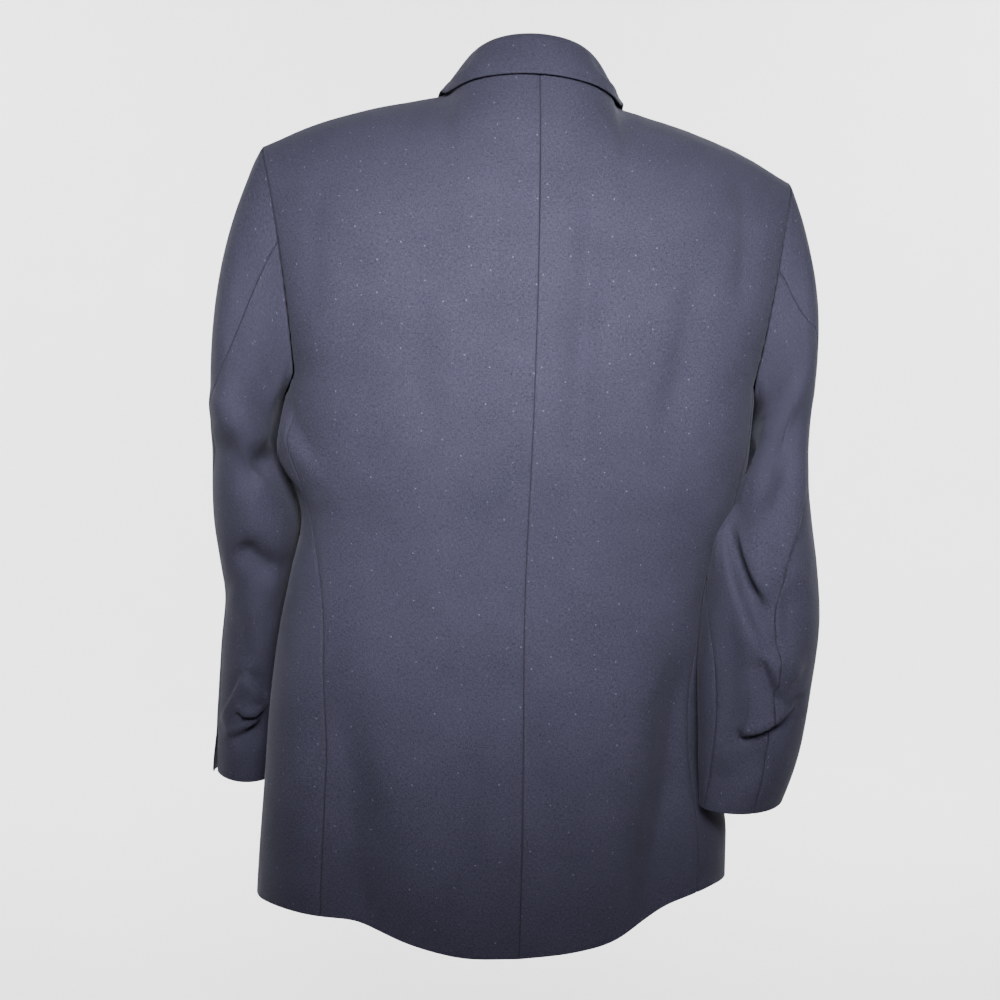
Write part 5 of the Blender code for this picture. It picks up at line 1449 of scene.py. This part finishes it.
def tube(points, radius, sides=STITCH_SIDES):
    """Vertices and faces of a thread along points, closed at both ends."""
    points = np.asarray(points, float)
    run = unit(np.gradient(points, axis=0))
    first = unit(np.cross(run, THREAD_ASIDE))
    second = np.cross(run, first)
    turn = 2.0 * math.pi * np.arange(sides) / sides
    ring = np.cos(turn)[:, None] * first[:, None] + np.sin(turn)[:, None] * second[:, None]
    vertices = (points[:, None] + radius * ring).reshape(-1, 3)
    faces = []
    for low in range(0, (len(points) - 1) * sides, sides):
        for k in range(sides):
            after = (k + 1) % sides
            faces.append([low + k, low + after, low + sides + after, low + sides + k])
    faces.append(list(range(sides))[::-1])
    end = (len(points) - 1) * sides
    faces.append([end + k for k in range(sides)])
    return vertices, faces


def thread_piece(name, tubes):
    """Many threads joined in one object."""
    faces = []
    count = 0
    for points, more in tubes:
        faces += [[count + index for index in face] for face in more]
        count += len(points)
    piece = mesh_piece(name, np.concatenate([points for points, more in tubes]), faces)
    piece.data.materials.append(finish("twisted_navy_thread", thread))
    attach(piece, "root")
    return piece


def button_thread(name, centre, normal):
    """Two crossed bundles of thread through the four holes."""
    across, up = button_axes(normal)
    tubes = []
    for a, b in ((1.0, 1.0), (1.0, -1.0)):
        start = HOLE_FROM_MIDDLE * math.sqrt(0.5) * (a * across + b * up)
        aside = unit(np.cross(normal, start))
        for k in range(THREAD_STRANDS):
            offset = (k - 0.5 * (THREAD_STRANDS - 1)) * THREAD_PITCH * THREAD_RADIUS * aside
            places = []
            for share in np.linspace(-1.0, 1.0, THREAD_POINTS):
                hump = THREAD_LOW + THREAD_HUMP * (1.0 - share ** 4) - THREAD_DIVE * share ** 12
                hump = BUTTON_THICK * hump
                raised = THREAD_CROSSING * (b < 0.0) * (1.0 - share ** 2)
                places.append(centre + start * share + offset + (hump + raised) * normal)
            tubes.append(tube(places, THREAD_RADIUS))
    return thread_piece(name, tubes)


def buttonhole(name, height):
    """A sewn buttonhole: short stitches side by side down both lips."""
    front, facing = fine_panel(1, "front")
    row = row_at_height(front, height)
    past = float(column(FRONT_EDGE, EDGE_COLUMNS, "past_centre", height))
    cell = np.linalg.norm(front[int(row) + 1, -5] - front[int(row), -5])
    tubes = []
    for lip in (-1.0, 1.0):
        for k in range(int(BUTTONHOLE_LONG / BUTTONHOLE_PITCH)):
            at = past - BUTTONHOLE_FROM + k * BUTTONHOLE_PITCH
            places = []
            for share in (0.0, 0.5, 1.0):
                spot = np.array(row + lip * (BUTTONHOLE_SLIT + BUTTONHOLE_WIDE * share) / cell)
                across = np.array(column_from_edge(front, row, at))
                lift = 0.5 * CLOTH + STITCH_RISE * math.sin(math.pi * share)
                normal = unit(read_grid(facing, spot, across))
                places.append(read_grid(front, spot, across) + normal * lift)
            tubes.append(tube(places, THREAD_RADIUS))
    return thread_piece(name, tubes)


def linear(code):
    """An sRGB hex colour as the linear colour that shaders use."""
    values = [int(code[k:k + 2], 16) / 255.0 for k in (1, 3, 5)]
    return (*(v / 12.92 if v <= 0.04045 else ((v + 0.055) / 1.055) ** 2.4 for v in values), 1.0)


def add(tree, kind, inputs=None, links=None, **settings):
    """Adds a node with its settings, values and links."""
    node = tree.nodes.new(kind)
    for name, value in settings.items():
        setattr(node, name, value)
    for socket, value in (inputs or {}).items():
        node.inputs[socket].default_value = value
    for socket, source in (links or {}).items():
        tree.links.new(source, node.inputs[socket])
    return node


def finish(name, fill):
    """The material of a name, filled in by its own function when it is first asked for."""
    if name not in bpy.data.materials:
        material = bpy.data.materials.new(name)
        material.use_nodes = True
        tree = material.node_tree
        fill(tree, tree.nodes["Principled BSDF"].inputs)
    return bpy.data.materials[name]


# Real sizes of the patterns, in metres
YARN = 0.0010                 # real yarns are 0.4 mm apart; two or three together show in the render
YARN_RUN = 0.0026             # length over which a yarn keeps its shade
HEATHER = 0.0007              # mixed fibre shades in the yarn, likewise coarsened
CLOUD = 0.045                 # slow change of shade over the cloth
RUMPLE = 0.022                # size of the faint rumples left by wear
TWILL_PITCH = 0.0021          # diagonal rib of the twill, really 0.7 mm
LINT_APART = 0.019            # mean distance between specks of lint
LINT_SIZE = 0.00040
RUMPLE_DEEP = 0.0012
WEAVE_DEEP = 0.00025
THREAD_TWIST = 0.0004         # from one turn of the twist to the next
HORN_STREAKS = (900.0, 300.0, 220.0)  # streaks to the metre: 1.1, 3.3 and 4.5 mm apart in x, y and z
PAPER_CLOUDS = 6.0            # soft clouds of shade to the metre

# Shares of the patterns in the wool's shade, beside the yarns' own
HEATHER_SHARE = 0.9
TWILL_SHARE = 0.045
CLOUD_SHARE = 0.30
SHADE_RANGE = (1.0, 2.2)      # sums of all shares that give the darkest and the lightest dye
LINT_LEFT_OUT = 0.3           # share of the places for a speck that stay empty

# Colours that stay as they are, in sRGB
SHEEN_TINT = "#c2c6d8"
HORN_STREAK_SHADE = "#2c2a30"
THREAD_DARK = "#181b2b"
THREAD_LIGHT = "#2f3450"
PAPER_DARK = "#f2f2f2"
PAPER_LIGHT = "#f7f7f7"
ROOM_COLOUR = "#ffffff"


def wool(tree, sockets):
    """Worsted wool, dyed and finely woven in a twill. It gives the eye a matt navy with a grey bloom."""
    colours = bpy.context.scene.blazer_colours
    cloth = add(tree, "ShaderNodeAttribute", attribute_name="cloth").outputs["Vector"]
    # seam is the mask of the painted shade along each seam's groove
    seam = add(tree, "ShaderNodeAttribute", attribute_name="seam").outputs["Fac"]
    yarn_values = {"Scale": 1.0, "Detail": 1.0, "Roughness": 0.5}
    yarns = []
    for apart in ((1.0 / YARN, 1.0 / YARN_RUN, 1.0), (1.0 / YARN_RUN, 1.0 / YARN, 1.0)):
        place = add(tree, "ShaderNodeVectorMath", {1: apart}, {0: cloth}, operation="MULTIPLY")
        yarn = add(tree, "ShaderNodeTexNoise", yarn_values, {"Vector": place.outputs[0]})
        yarns.append(yarn.outputs["Fac"])
    heather_values = {"Scale": 1.0 / HEATHER, "Detail": 2.0, "Roughness": 0.6}
    heather = add(tree, "ShaderNodeTexNoise", heather_values, {"Vector": cloth}).outputs["Fac"]
    cloud_values = {"Scale": 1.0 / CLOUD, "Detail": 2.0}
    cloud = add(tree, "ShaderNodeTexNoise", cloud_values, {"Vector": cloth}).outputs["Fac"]
    phase = (2.0 * math.pi / TWILL_PITCH, 2.0 * math.pi / TWILL_PITCH, 0.0)
    diagonal = add(tree, "ShaderNodeVectorMath", {1: phase}, {0: cloth}, operation="DOT_PRODUCT")
    twill = add(tree, "ShaderNodeMath", None, {0: diagonal.outputs["Value"]}, operation="SINE")
    sum_of = add(tree, "ShaderNodeMath", None, {0: yarns[0], 1: yarns[1]}, operation="ADD").outputs[0]
    for share, source in ((HEATHER_SHARE, heather), (TWILL_SHARE, twill.outputs[0])):
        more = add(tree, "ShaderNodeMath", {1: share}, {0: source, 2: sum_of}, operation="MULTIPLY_ADD")
        sum_of = more.outputs[0]
    sources = {0: cloud, 2: sum_of}
    clouded = add(tree, "ShaderNodeMath", {1: CLOUD_SHARE}, sources, operation="MULTIPLY_ADD")
    shade_values = {"From Min": SHADE_RANGE[0], "From Max": SHADE_RANGE[1]}
    shade = add(tree, "ShaderNodeMapRange", shade_values, {"Value": clouded.outputs[0]}).outputs[0]
    dyes = {6: linear(colours.wool_dark), 7: linear(colours.wool_light)}
    dyed = add(tree, "ShaderNodeMix", dyes, {0: shade}, data_type="RGBA").outputs[2]
    apart = {"Scale": 1.0 / LINT_APART}
    lint_cell = add(tree, "ShaderNodeTexVoronoi", apart, {"Vector": cloth}, voronoi_dimensions="2D")
    lint_edge = {
        "From Min": LINT_SIZE / LINT_APART,
        "From Max": 2.0 * LINT_SIZE / LINT_APART,
        "To Min": 1.0,
        "To Max": 0.0,
    }
    speck = add(tree, "ShaderNodeMapRange", lint_edge, {"Value": lint_cell.outputs["Distance"]}).outputs[0]
    lot = add(tree, "ShaderNodeSeparateColor", None, {0: lint_cell.outputs["Color"]}).outputs[0]
    chosen_values = {"From Min": LINT_LEFT_OUT, "From Max": 1.0}
    chosen = add(tree, "ShaderNodeMapRange", chosen_values, {"Value": lot}).outputs[0]
    linted = add(tree, "ShaderNodeMath", None, {0: speck, 1: chosen}, operation="MULTIPLY").outputs[0]
    colour = dyed
    # Painted shade in the seams' grooves goes over the dye first, then the real specks of lint
    for code, felt in ((colours.painted_seam_shade, seam), (colours.lint, linted)):
        over = add(tree, "ShaderNodeMix", {7: linear(code)}, {0: felt, 6: colour}, data_type="RGBA")
        colour = over.outputs[2]
    tree.links.new(colour, sockets["Base Color"])
    rumple_values = {"Scale": 1.0 / RUMPLE, "Detail": 2.0}
    rumple = add(tree, "ShaderNodeTexNoise", rumple_values, {"Vector": cloth}).outputs["Fac"]
    soft_values = {"Strength": 0.30, "Distance": RUMPLE_DEEP}
    soft = add(tree, "ShaderNodeBump", soft_values, {"Height": rumple}).outputs[0]
    weave_values = {"Strength": 0.55, "Distance": WEAVE_DEEP}
    weave = add(tree, "ShaderNodeBump", weave_values, {"Height": sum_of, "Normal": soft}).outputs[0]
    tree.links.new(weave, sockets["Normal"])
    sockets["Roughness"].default_value = 0.92
    sockets["IOR"].default_value = 1.54
    sockets["Specular IOR Level"].default_value = 0.07
    sockets["Sheen Weight"].default_value = 0.03
    sockets["Sheen Roughness"].default_value = 0.42
    sockets["Sheen Tint"].default_value = linear(SHEEN_TINT)


def horn(tree, sockets):
    """Buffalo horn, turned and polished. It gives the eye a dark, faintly streaked satin gloss."""
    place = add(tree, "ShaderNodeTexCoord").outputs["Object"]
    stretched = add(tree, "ShaderNodeVectorMath", {1: HORN_STREAKS}, {0: place}, operation="MULTIPLY")
    streak_values = {"Scale": 1.0, "Detail": 4.0}
    streak = add(tree, "ShaderNodeTexNoise", streak_values, {"Vector": stretched.outputs[0]})
    streak = streak.outputs["Fac"]
    shade = add(tree, "ShaderNodeMapRange", {"From Min": 0.35, "From Max": 0.75}, {"Value": streak})
    shades = {6: linear(bpy.context.scene.blazer_colours.horn), 7: linear(HORN_STREAK_SHADE)}
    mixed = add(tree, "ShaderNodeMix", shades, {0: shade.outputs[0]}, data_type="RGBA")
    tree.links.new(mixed.outputs[2], sockets["Base Color"])
    gloss = add(tree, "ShaderNodeMapRange", {"To Min": 0.32, "To Max": 0.48}, {"Value": streak})
    tree.links.new(gloss.outputs[0], sockets["Roughness"])
    sockets["IOR"].default_value = 1.54
    sockets["Specular IOR Level"].default_value = 0.20


def thread(tree, sockets):
    """Twisted polyester sewing thread. It gives the eye a slightly shinier navy than the wool."""
    place = add(tree, "ShaderNodeTexCoord").outputs["Object"]
    twist_values = {"Scale": 1.0 / THREAD_TWIST, "Detail": 1.0}
    twist = add(tree, "ShaderNodeTexNoise", twist_values, {"Vector": place}).outputs["Fac"]
    shades = {6: linear(THREAD_DARK), 7: linear(THREAD_LIGHT)}
    mixed = add(tree, "ShaderNodeMix", shades, {0: twist}, data_type="RGBA")
    tree.links.new(mixed.outputs[2], sockets["Base Color"])
    sockets["Roughness"].default_value = 0.55


def paper(tree, sockets):
    """Matt white studio paper, rolled out in one sweep. It gives the eye a pale ground with no edge."""
    place = add(tree, "ShaderNodeTexCoord").outputs["Object"]
    grain_values = {"Scale": PAPER_CLOUDS, "Detail": 3.0}
    grain = add(tree, "ShaderNodeTexNoise", grain_values, {"Vector": place}).outputs["Fac"]
    shades = {6: linear(PAPER_DARK), 7: linear(PAPER_LIGHT)}
    mixed = add(tree, "ShaderNodeMix", shades, {0: grain}, data_type="RGBA")
    tree.links.new(mixed.outputs[2], sockets["Base Color"])
    sockets["Roughness"].default_value = 0.9


# Camera, fitted to the photo's outline
CAMERA_PLACE = (0.1149, 1.2783, -0.2339)
CAMERA_AIM = (0.0201, 0.05, -0.3575)
CAMERA_ROLL = 0.0329
SENSOR = 36.0

# Studio
FLOOR_HEIGHT = -1.45          # the hem hangs as high over it as on a standing wearer
FLOOR_RADIUS = 3.4
SWEEP_RADIUS = 1.6
WALL_HEIGHT = 5.0
SWEEP_STEPS = 14
ROUND_STEPS = 72
LAMP_COLUMNS = ("name", "power", "place", "aim", "size", "spread")  # spread in degrees
LAMPS = (
    ("key_light_left", "key_power", (0.20, 1.02, 0.14), (0.13, 0.10, -0.24), 0.35, 58.0),
    ("key_light_right", "key_power", (-0.10, 1.05, 0.14), (-0.13, 0.10, -0.21), 0.35, 58.0),
    ("front_light", "fill_power", (-0.70, -2.20, 1.10), (0.0, 0.0, -0.35), 1.2, 180.0),
    ("paper_light_left", "paper_power", (2.30, -1.60, 1.60), (1.0, -5.0, -0.4), 1.5, 180.0),
    ("paper_light_right", "paper_power", (-2.30, -1.60, 1.60), (-1.0, -5.0, -0.4), 1.5, 180.0),
)


def aimed(place, aim, roll=0.0):
    """A matrix at a place that looks at an aim, as cameras and lamps do."""
    forward = (Vector(aim) - Vector(place)).normalized()
    right = forward.cross(Vector((0.0, 0.0, 1.0))).normalized()
    up = right.cross(forward)
    across = math.cos(roll) * right + math.sin(roll) * up
    above = -math.sin(roll) * right + math.cos(roll) * up
    turn = Matrix((across, above, -forward)).transposed()
    return Matrix.Translation(Vector(place)) @ turn.to_4x4()


def lamp(row, power):
    """A square soft light, which may have a grid that narrows its beam."""
    data = bpy.data.lights.new(row["name"], "AREA")
    data.size = row["size"]
    data.spread = math.radians(row["spread"])
    data.energy = power
    light = bpy.data.objects.new(row["name"], data)
    light.matrix_world = aimed(row["place"], row["aim"])
    bpy.context.scene.collection.objects.link(light)


def paper_sweep():
    """A round floor of paper that curves up into a wall all round."""
    profile = [(FLOOR_RADIUS, 0.0)]
    for k in range(1, SWEEP_STEPS + 1):
        turn = 0.5 * math.pi * k / SWEEP_STEPS
        out = SWEEP_RADIUS * math.sin(turn)
        profile.append((FLOOR_RADIUS + out, SWEEP_RADIUS * (1.0 - math.cos(turn))))
    profile.append((FLOOR_RADIUS + SWEEP_RADIUS, WALL_HEIGHT))
    vertices = [(0.0, 0.0, FLOOR_HEIGHT)]
    for reach, rise in profile:
        for k in range(ROUND_STEPS):
            turn = 2.0 * math.pi * k / ROUND_STEPS
            vertices.append((reach * math.cos(turn), reach * math.sin(turn), FLOOR_HEIGHT + rise))
    faces = []
    for k in range(ROUND_STEPS):
        after = (k + 1) % ROUND_STEPS
        faces.append((0, 1 + k, 1 + after))
        for low in range(1, 1 + (len(profile) - 1) * ROUND_STEPS, ROUND_STEPS):
            high = low + ROUND_STEPS
            faces.append((low + k, high + k, high + after, low + after))
    floor = mesh_piece("paper_sweep", vertices, faces)
    floor.data.materials.append(finish("matt_white_studio_paper", paper))
    return floor


class BlazerSizes(bpy.types.PropertyGroup):
    """Sizes that a user would change"""

    cloth: FloatProperty(
        name="Cloth thickness", description="Outer cloth with its backing and lining",
        default=CLOTH, min=0.001, max=0.003, subtype="DISTANCE", unit="LENGTH",
    )
    crease_depth: FloatProperty(
        name="Crease depth", description="Share of the tabled crease depths", default=1.25, min=0.0, max=2.0,
    )
    seam_depth: FloatProperty(
        name="Seam depth", description="How far the cloth is drawn in at a seam",
        default=0.0006, min=0.0, max=0.002, subtype="DISTANCE", unit="LENGTH",
    )
    button_radius: FloatProperty(
        name="Button radius", description="Radius of both front buttons",
        default=BUTTON_RADIUS, min=0.007, max=0.012, subtype="DISTANCE", unit="LENGTH",
    )


class BlazerColours(bpy.types.PropertyGroup):
    """Colours that a user would change, as sRGB hex codes"""

    wool_dark: StringProperty(
        name="Wool, dark yarn", description="Darkest shade of the yarns", default="#0b0b12",
    )
    wool_light: StringProperty(
        name="Wool, light yarn", description="Lightest shade of the yarns", default="#262531",
    )
    # Colour of the painted shade along each seam's groove
    painted_seam_shade: StringProperty(
        name="Seam line", description="Shade in the groove of a seam", default="#101016",
    )
    lint: StringProperty(name="Lint", description="Specks of lint on the wool", default="#3b3e48")
    horn: StringProperty(name="Button horn", description="Main shade of the buttons", default="#17161b")


class BlazerStage(bpy.types.PropertyGroup):
    """The studio"""

    lens: FloatProperty(
        name="Lens", description="Focal length in millimetres", default=50.0, min=20.0, max=120.0,
        subtype="DISTANCE_CAMERA",
    )
    key_power: FloatProperty(
        name="Key lights", description="Each soft light over the camera",
        default=7.6, min=0.0, subtype="POWER", unit="POWER",
    )
    fill_power: FloatProperty(
        name="Front light", description="Soft light on the front",
        default=24.0, min=0.0, subtype="POWER", unit="POWER",
    )
    paper_power: FloatProperty(
        name="Paper lights", description="Each light on the paper",
        default=260.0, min=0.0, subtype="POWER", unit="POWER",
    )
    room: FloatProperty(
        name="Room light", description="Even light from all round", default=0.012, min=0.0, max=3.0,
    )


class BLAZER_OT_body(bpy.types.Operator):
    """Backs, side panels and fronts"""

    bl_idname = "blazer.body"
    bl_label = "Body panels"

    def execute(self, context):
        for side in (1, -1):
            for name in ("back", "side", "front"):
                points = fine_panel(side, name)[0]
                node = f"{name}_{word_of(side)}"
                outward = np.array(FACING[name]) * (side, 1.0, 1.0)
                piece = cloth_wall(f"{node}_cloth", points, outward, BODY_SEAMS[name])
                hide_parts(node)
        return {"FINISHED"}


class BLAZER_OT_sleeves(bpy.types.Operator):
    """Top and under sleeves"""

    bl_idname = "blazer.sleeves"
    bl_label = "Sleeves"

    def execute(self, context):
        for side in (1, -1):
            for part, (points, places) in fine_sleeve(side).items():
                node = f"sleeve_{part}_{word_of(side)}"
                seams = ("first_column", "last_column", "first_row")
                outward = sleeve_outward(side, part)
                piece = cloth_wall(f"{node}_cloth", points, outward, seams, places=places)
                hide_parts(node)
        return {"FINISHED"}


class BLAZER_OT_lapels(bpy.types.Operator):
    """Lapels, turned out along the roll line"""

    bl_idname = "blazer.lapels"
    bl_label = "Lapels"

    def execute(self, context):
        for side in (1, -1):
            node = f"lapel_{word_of(side)}"
            piece = cloth_wall(
                f"{node}_cloth", lapel_points(side), (0.0, -1.0, 0.0), (),
            )
            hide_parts(node)
        return {"FINISHED"}


class BLAZER_OT_collar(bpy.types.Operator):
    """Collar: stand and fall in one turned piece"""

    bl_idname = "blazer.collar"
    bl_label = "Collar"

    def execute(self, context):
        piece = cloth_wall(
            "collar_cloth", fine_collar(), (0.0, 0.3, 1.0), (),
        )
        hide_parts("collar")
        return {"FINISHED"}


class BLAZER_OT_buttons(bpy.types.Operator):
    """Front buttons, their thread and their buttonholes"""

    bl_idname = "blazer.buttons"
    bl_label = "Buttons and buttonholes"

    def execute(self, context):
        for name, height in FRONT_BUTTON_HEIGHTS.items():
            place, normal = front_spot(height)
            centre = place + normal * (0.5 * CLOTH + BUTTON_STANDS)
            piece = button_piece(f"button_{name}_horn", centre, normal)
            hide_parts(f"button_{name}")
            button_thread(f"button_{name}_thread", centre, normal)
            buttonhole(f"buttonhole_{name}", height)
        return {"FINISHED"}


class BLAZER_OT_stage(bpy.types.Operator):
    """Camera, soft light and a pale sweep of paper"""

    bl_idname = "blazer.stage"
    bl_label = "Stage"

    def execute(self, context):
        stage = context.scene.blazer_stage
        data = bpy.data.cameras.new("camera")
        data.lens = stage.lens
        data.sensor_width = SENSOR
        camera = bpy.data.objects.new("camera", data)
        camera.matrix_world = aimed(CAMERA_PLACE, CAMERA_AIM, CAMERA_ROLL)
        context.scene.collection.objects.link(camera)
        context.scene.camera = camera
        for row in LAMPS:
            light = dict(zip(LAMP_COLUMNS, row))
            lamp(light, getattr(stage, light["power"]))
        sky = bpy.data.worlds.new("studio_air")
        sky.use_nodes = True
        sky.node_tree.nodes["Background"].inputs["Color"].default_value = linear(ROOM_COLOUR)
        sky.node_tree.nodes["Background"].inputs["Strength"].default_value = stage.room
        context.scene.world = sky
        floor = paper_sweep()
        return {"FINISHED"}


class BLAZER_PT_panel(bpy.types.Panel):
    """Lists the steps that build the blazer"""

    bl_idname = "BLAZER_PT_panel"
    bl_label = "Blazer"
    bl_space_type = "VIEW_3D"
    bl_region_type = "UI"
    bl_category = "Blazer"

    def draw(self, context):
        for group in ("blazer_sizes", "blazer_colours", "blazer_stage"):
            settings = getattr(context.scene, group)
            for name in settings.__annotations__:
                self.layout.prop(settings, name)
        for step in STEPS:
            self.layout.operator(step.bl_idname)


STEPS = (
    BLAZER_OT_stage,
    BLAZER_OT_body,
    BLAZER_OT_sleeves,
    BLAZER_OT_lapels,
    BLAZER_OT_collar,
    BLAZER_OT_buttons,
)
CLASSES = (BlazerSizes, BlazerColours, BlazerStage, *STEPS, BLAZER_PT_panel)


def register():
    for item in CLASSES:
        bpy.utils.register_class(item)
    bpy.types.Scene.blazer_sizes = PointerProperty(type=BlazerSizes)
    bpy.types.Scene.blazer_colours = PointerProperty(type=BlazerColours)
    bpy.types.Scene.blazer_stage = PointerProperty(type=BlazerStage)


def unregister():
    del bpy.types.Scene.blazer_stage
    del bpy.types.Scene.blazer_colours
    del bpy.types.Scene.blazer_sizes
    for item in reversed(CLASSES):
        bpy.utils.unregister_class(item)


def main():
    register()
    bpy.ops.blazer.stage()
    bpy.ops.blazer.body()
    bpy.ops.blazer.sleeves()
    bpy.ops.blazer.lapels()
    bpy.ops.blazer.collar()
    bpy.ops.blazer.buttons()


if __name__ == "__main__":
    main()
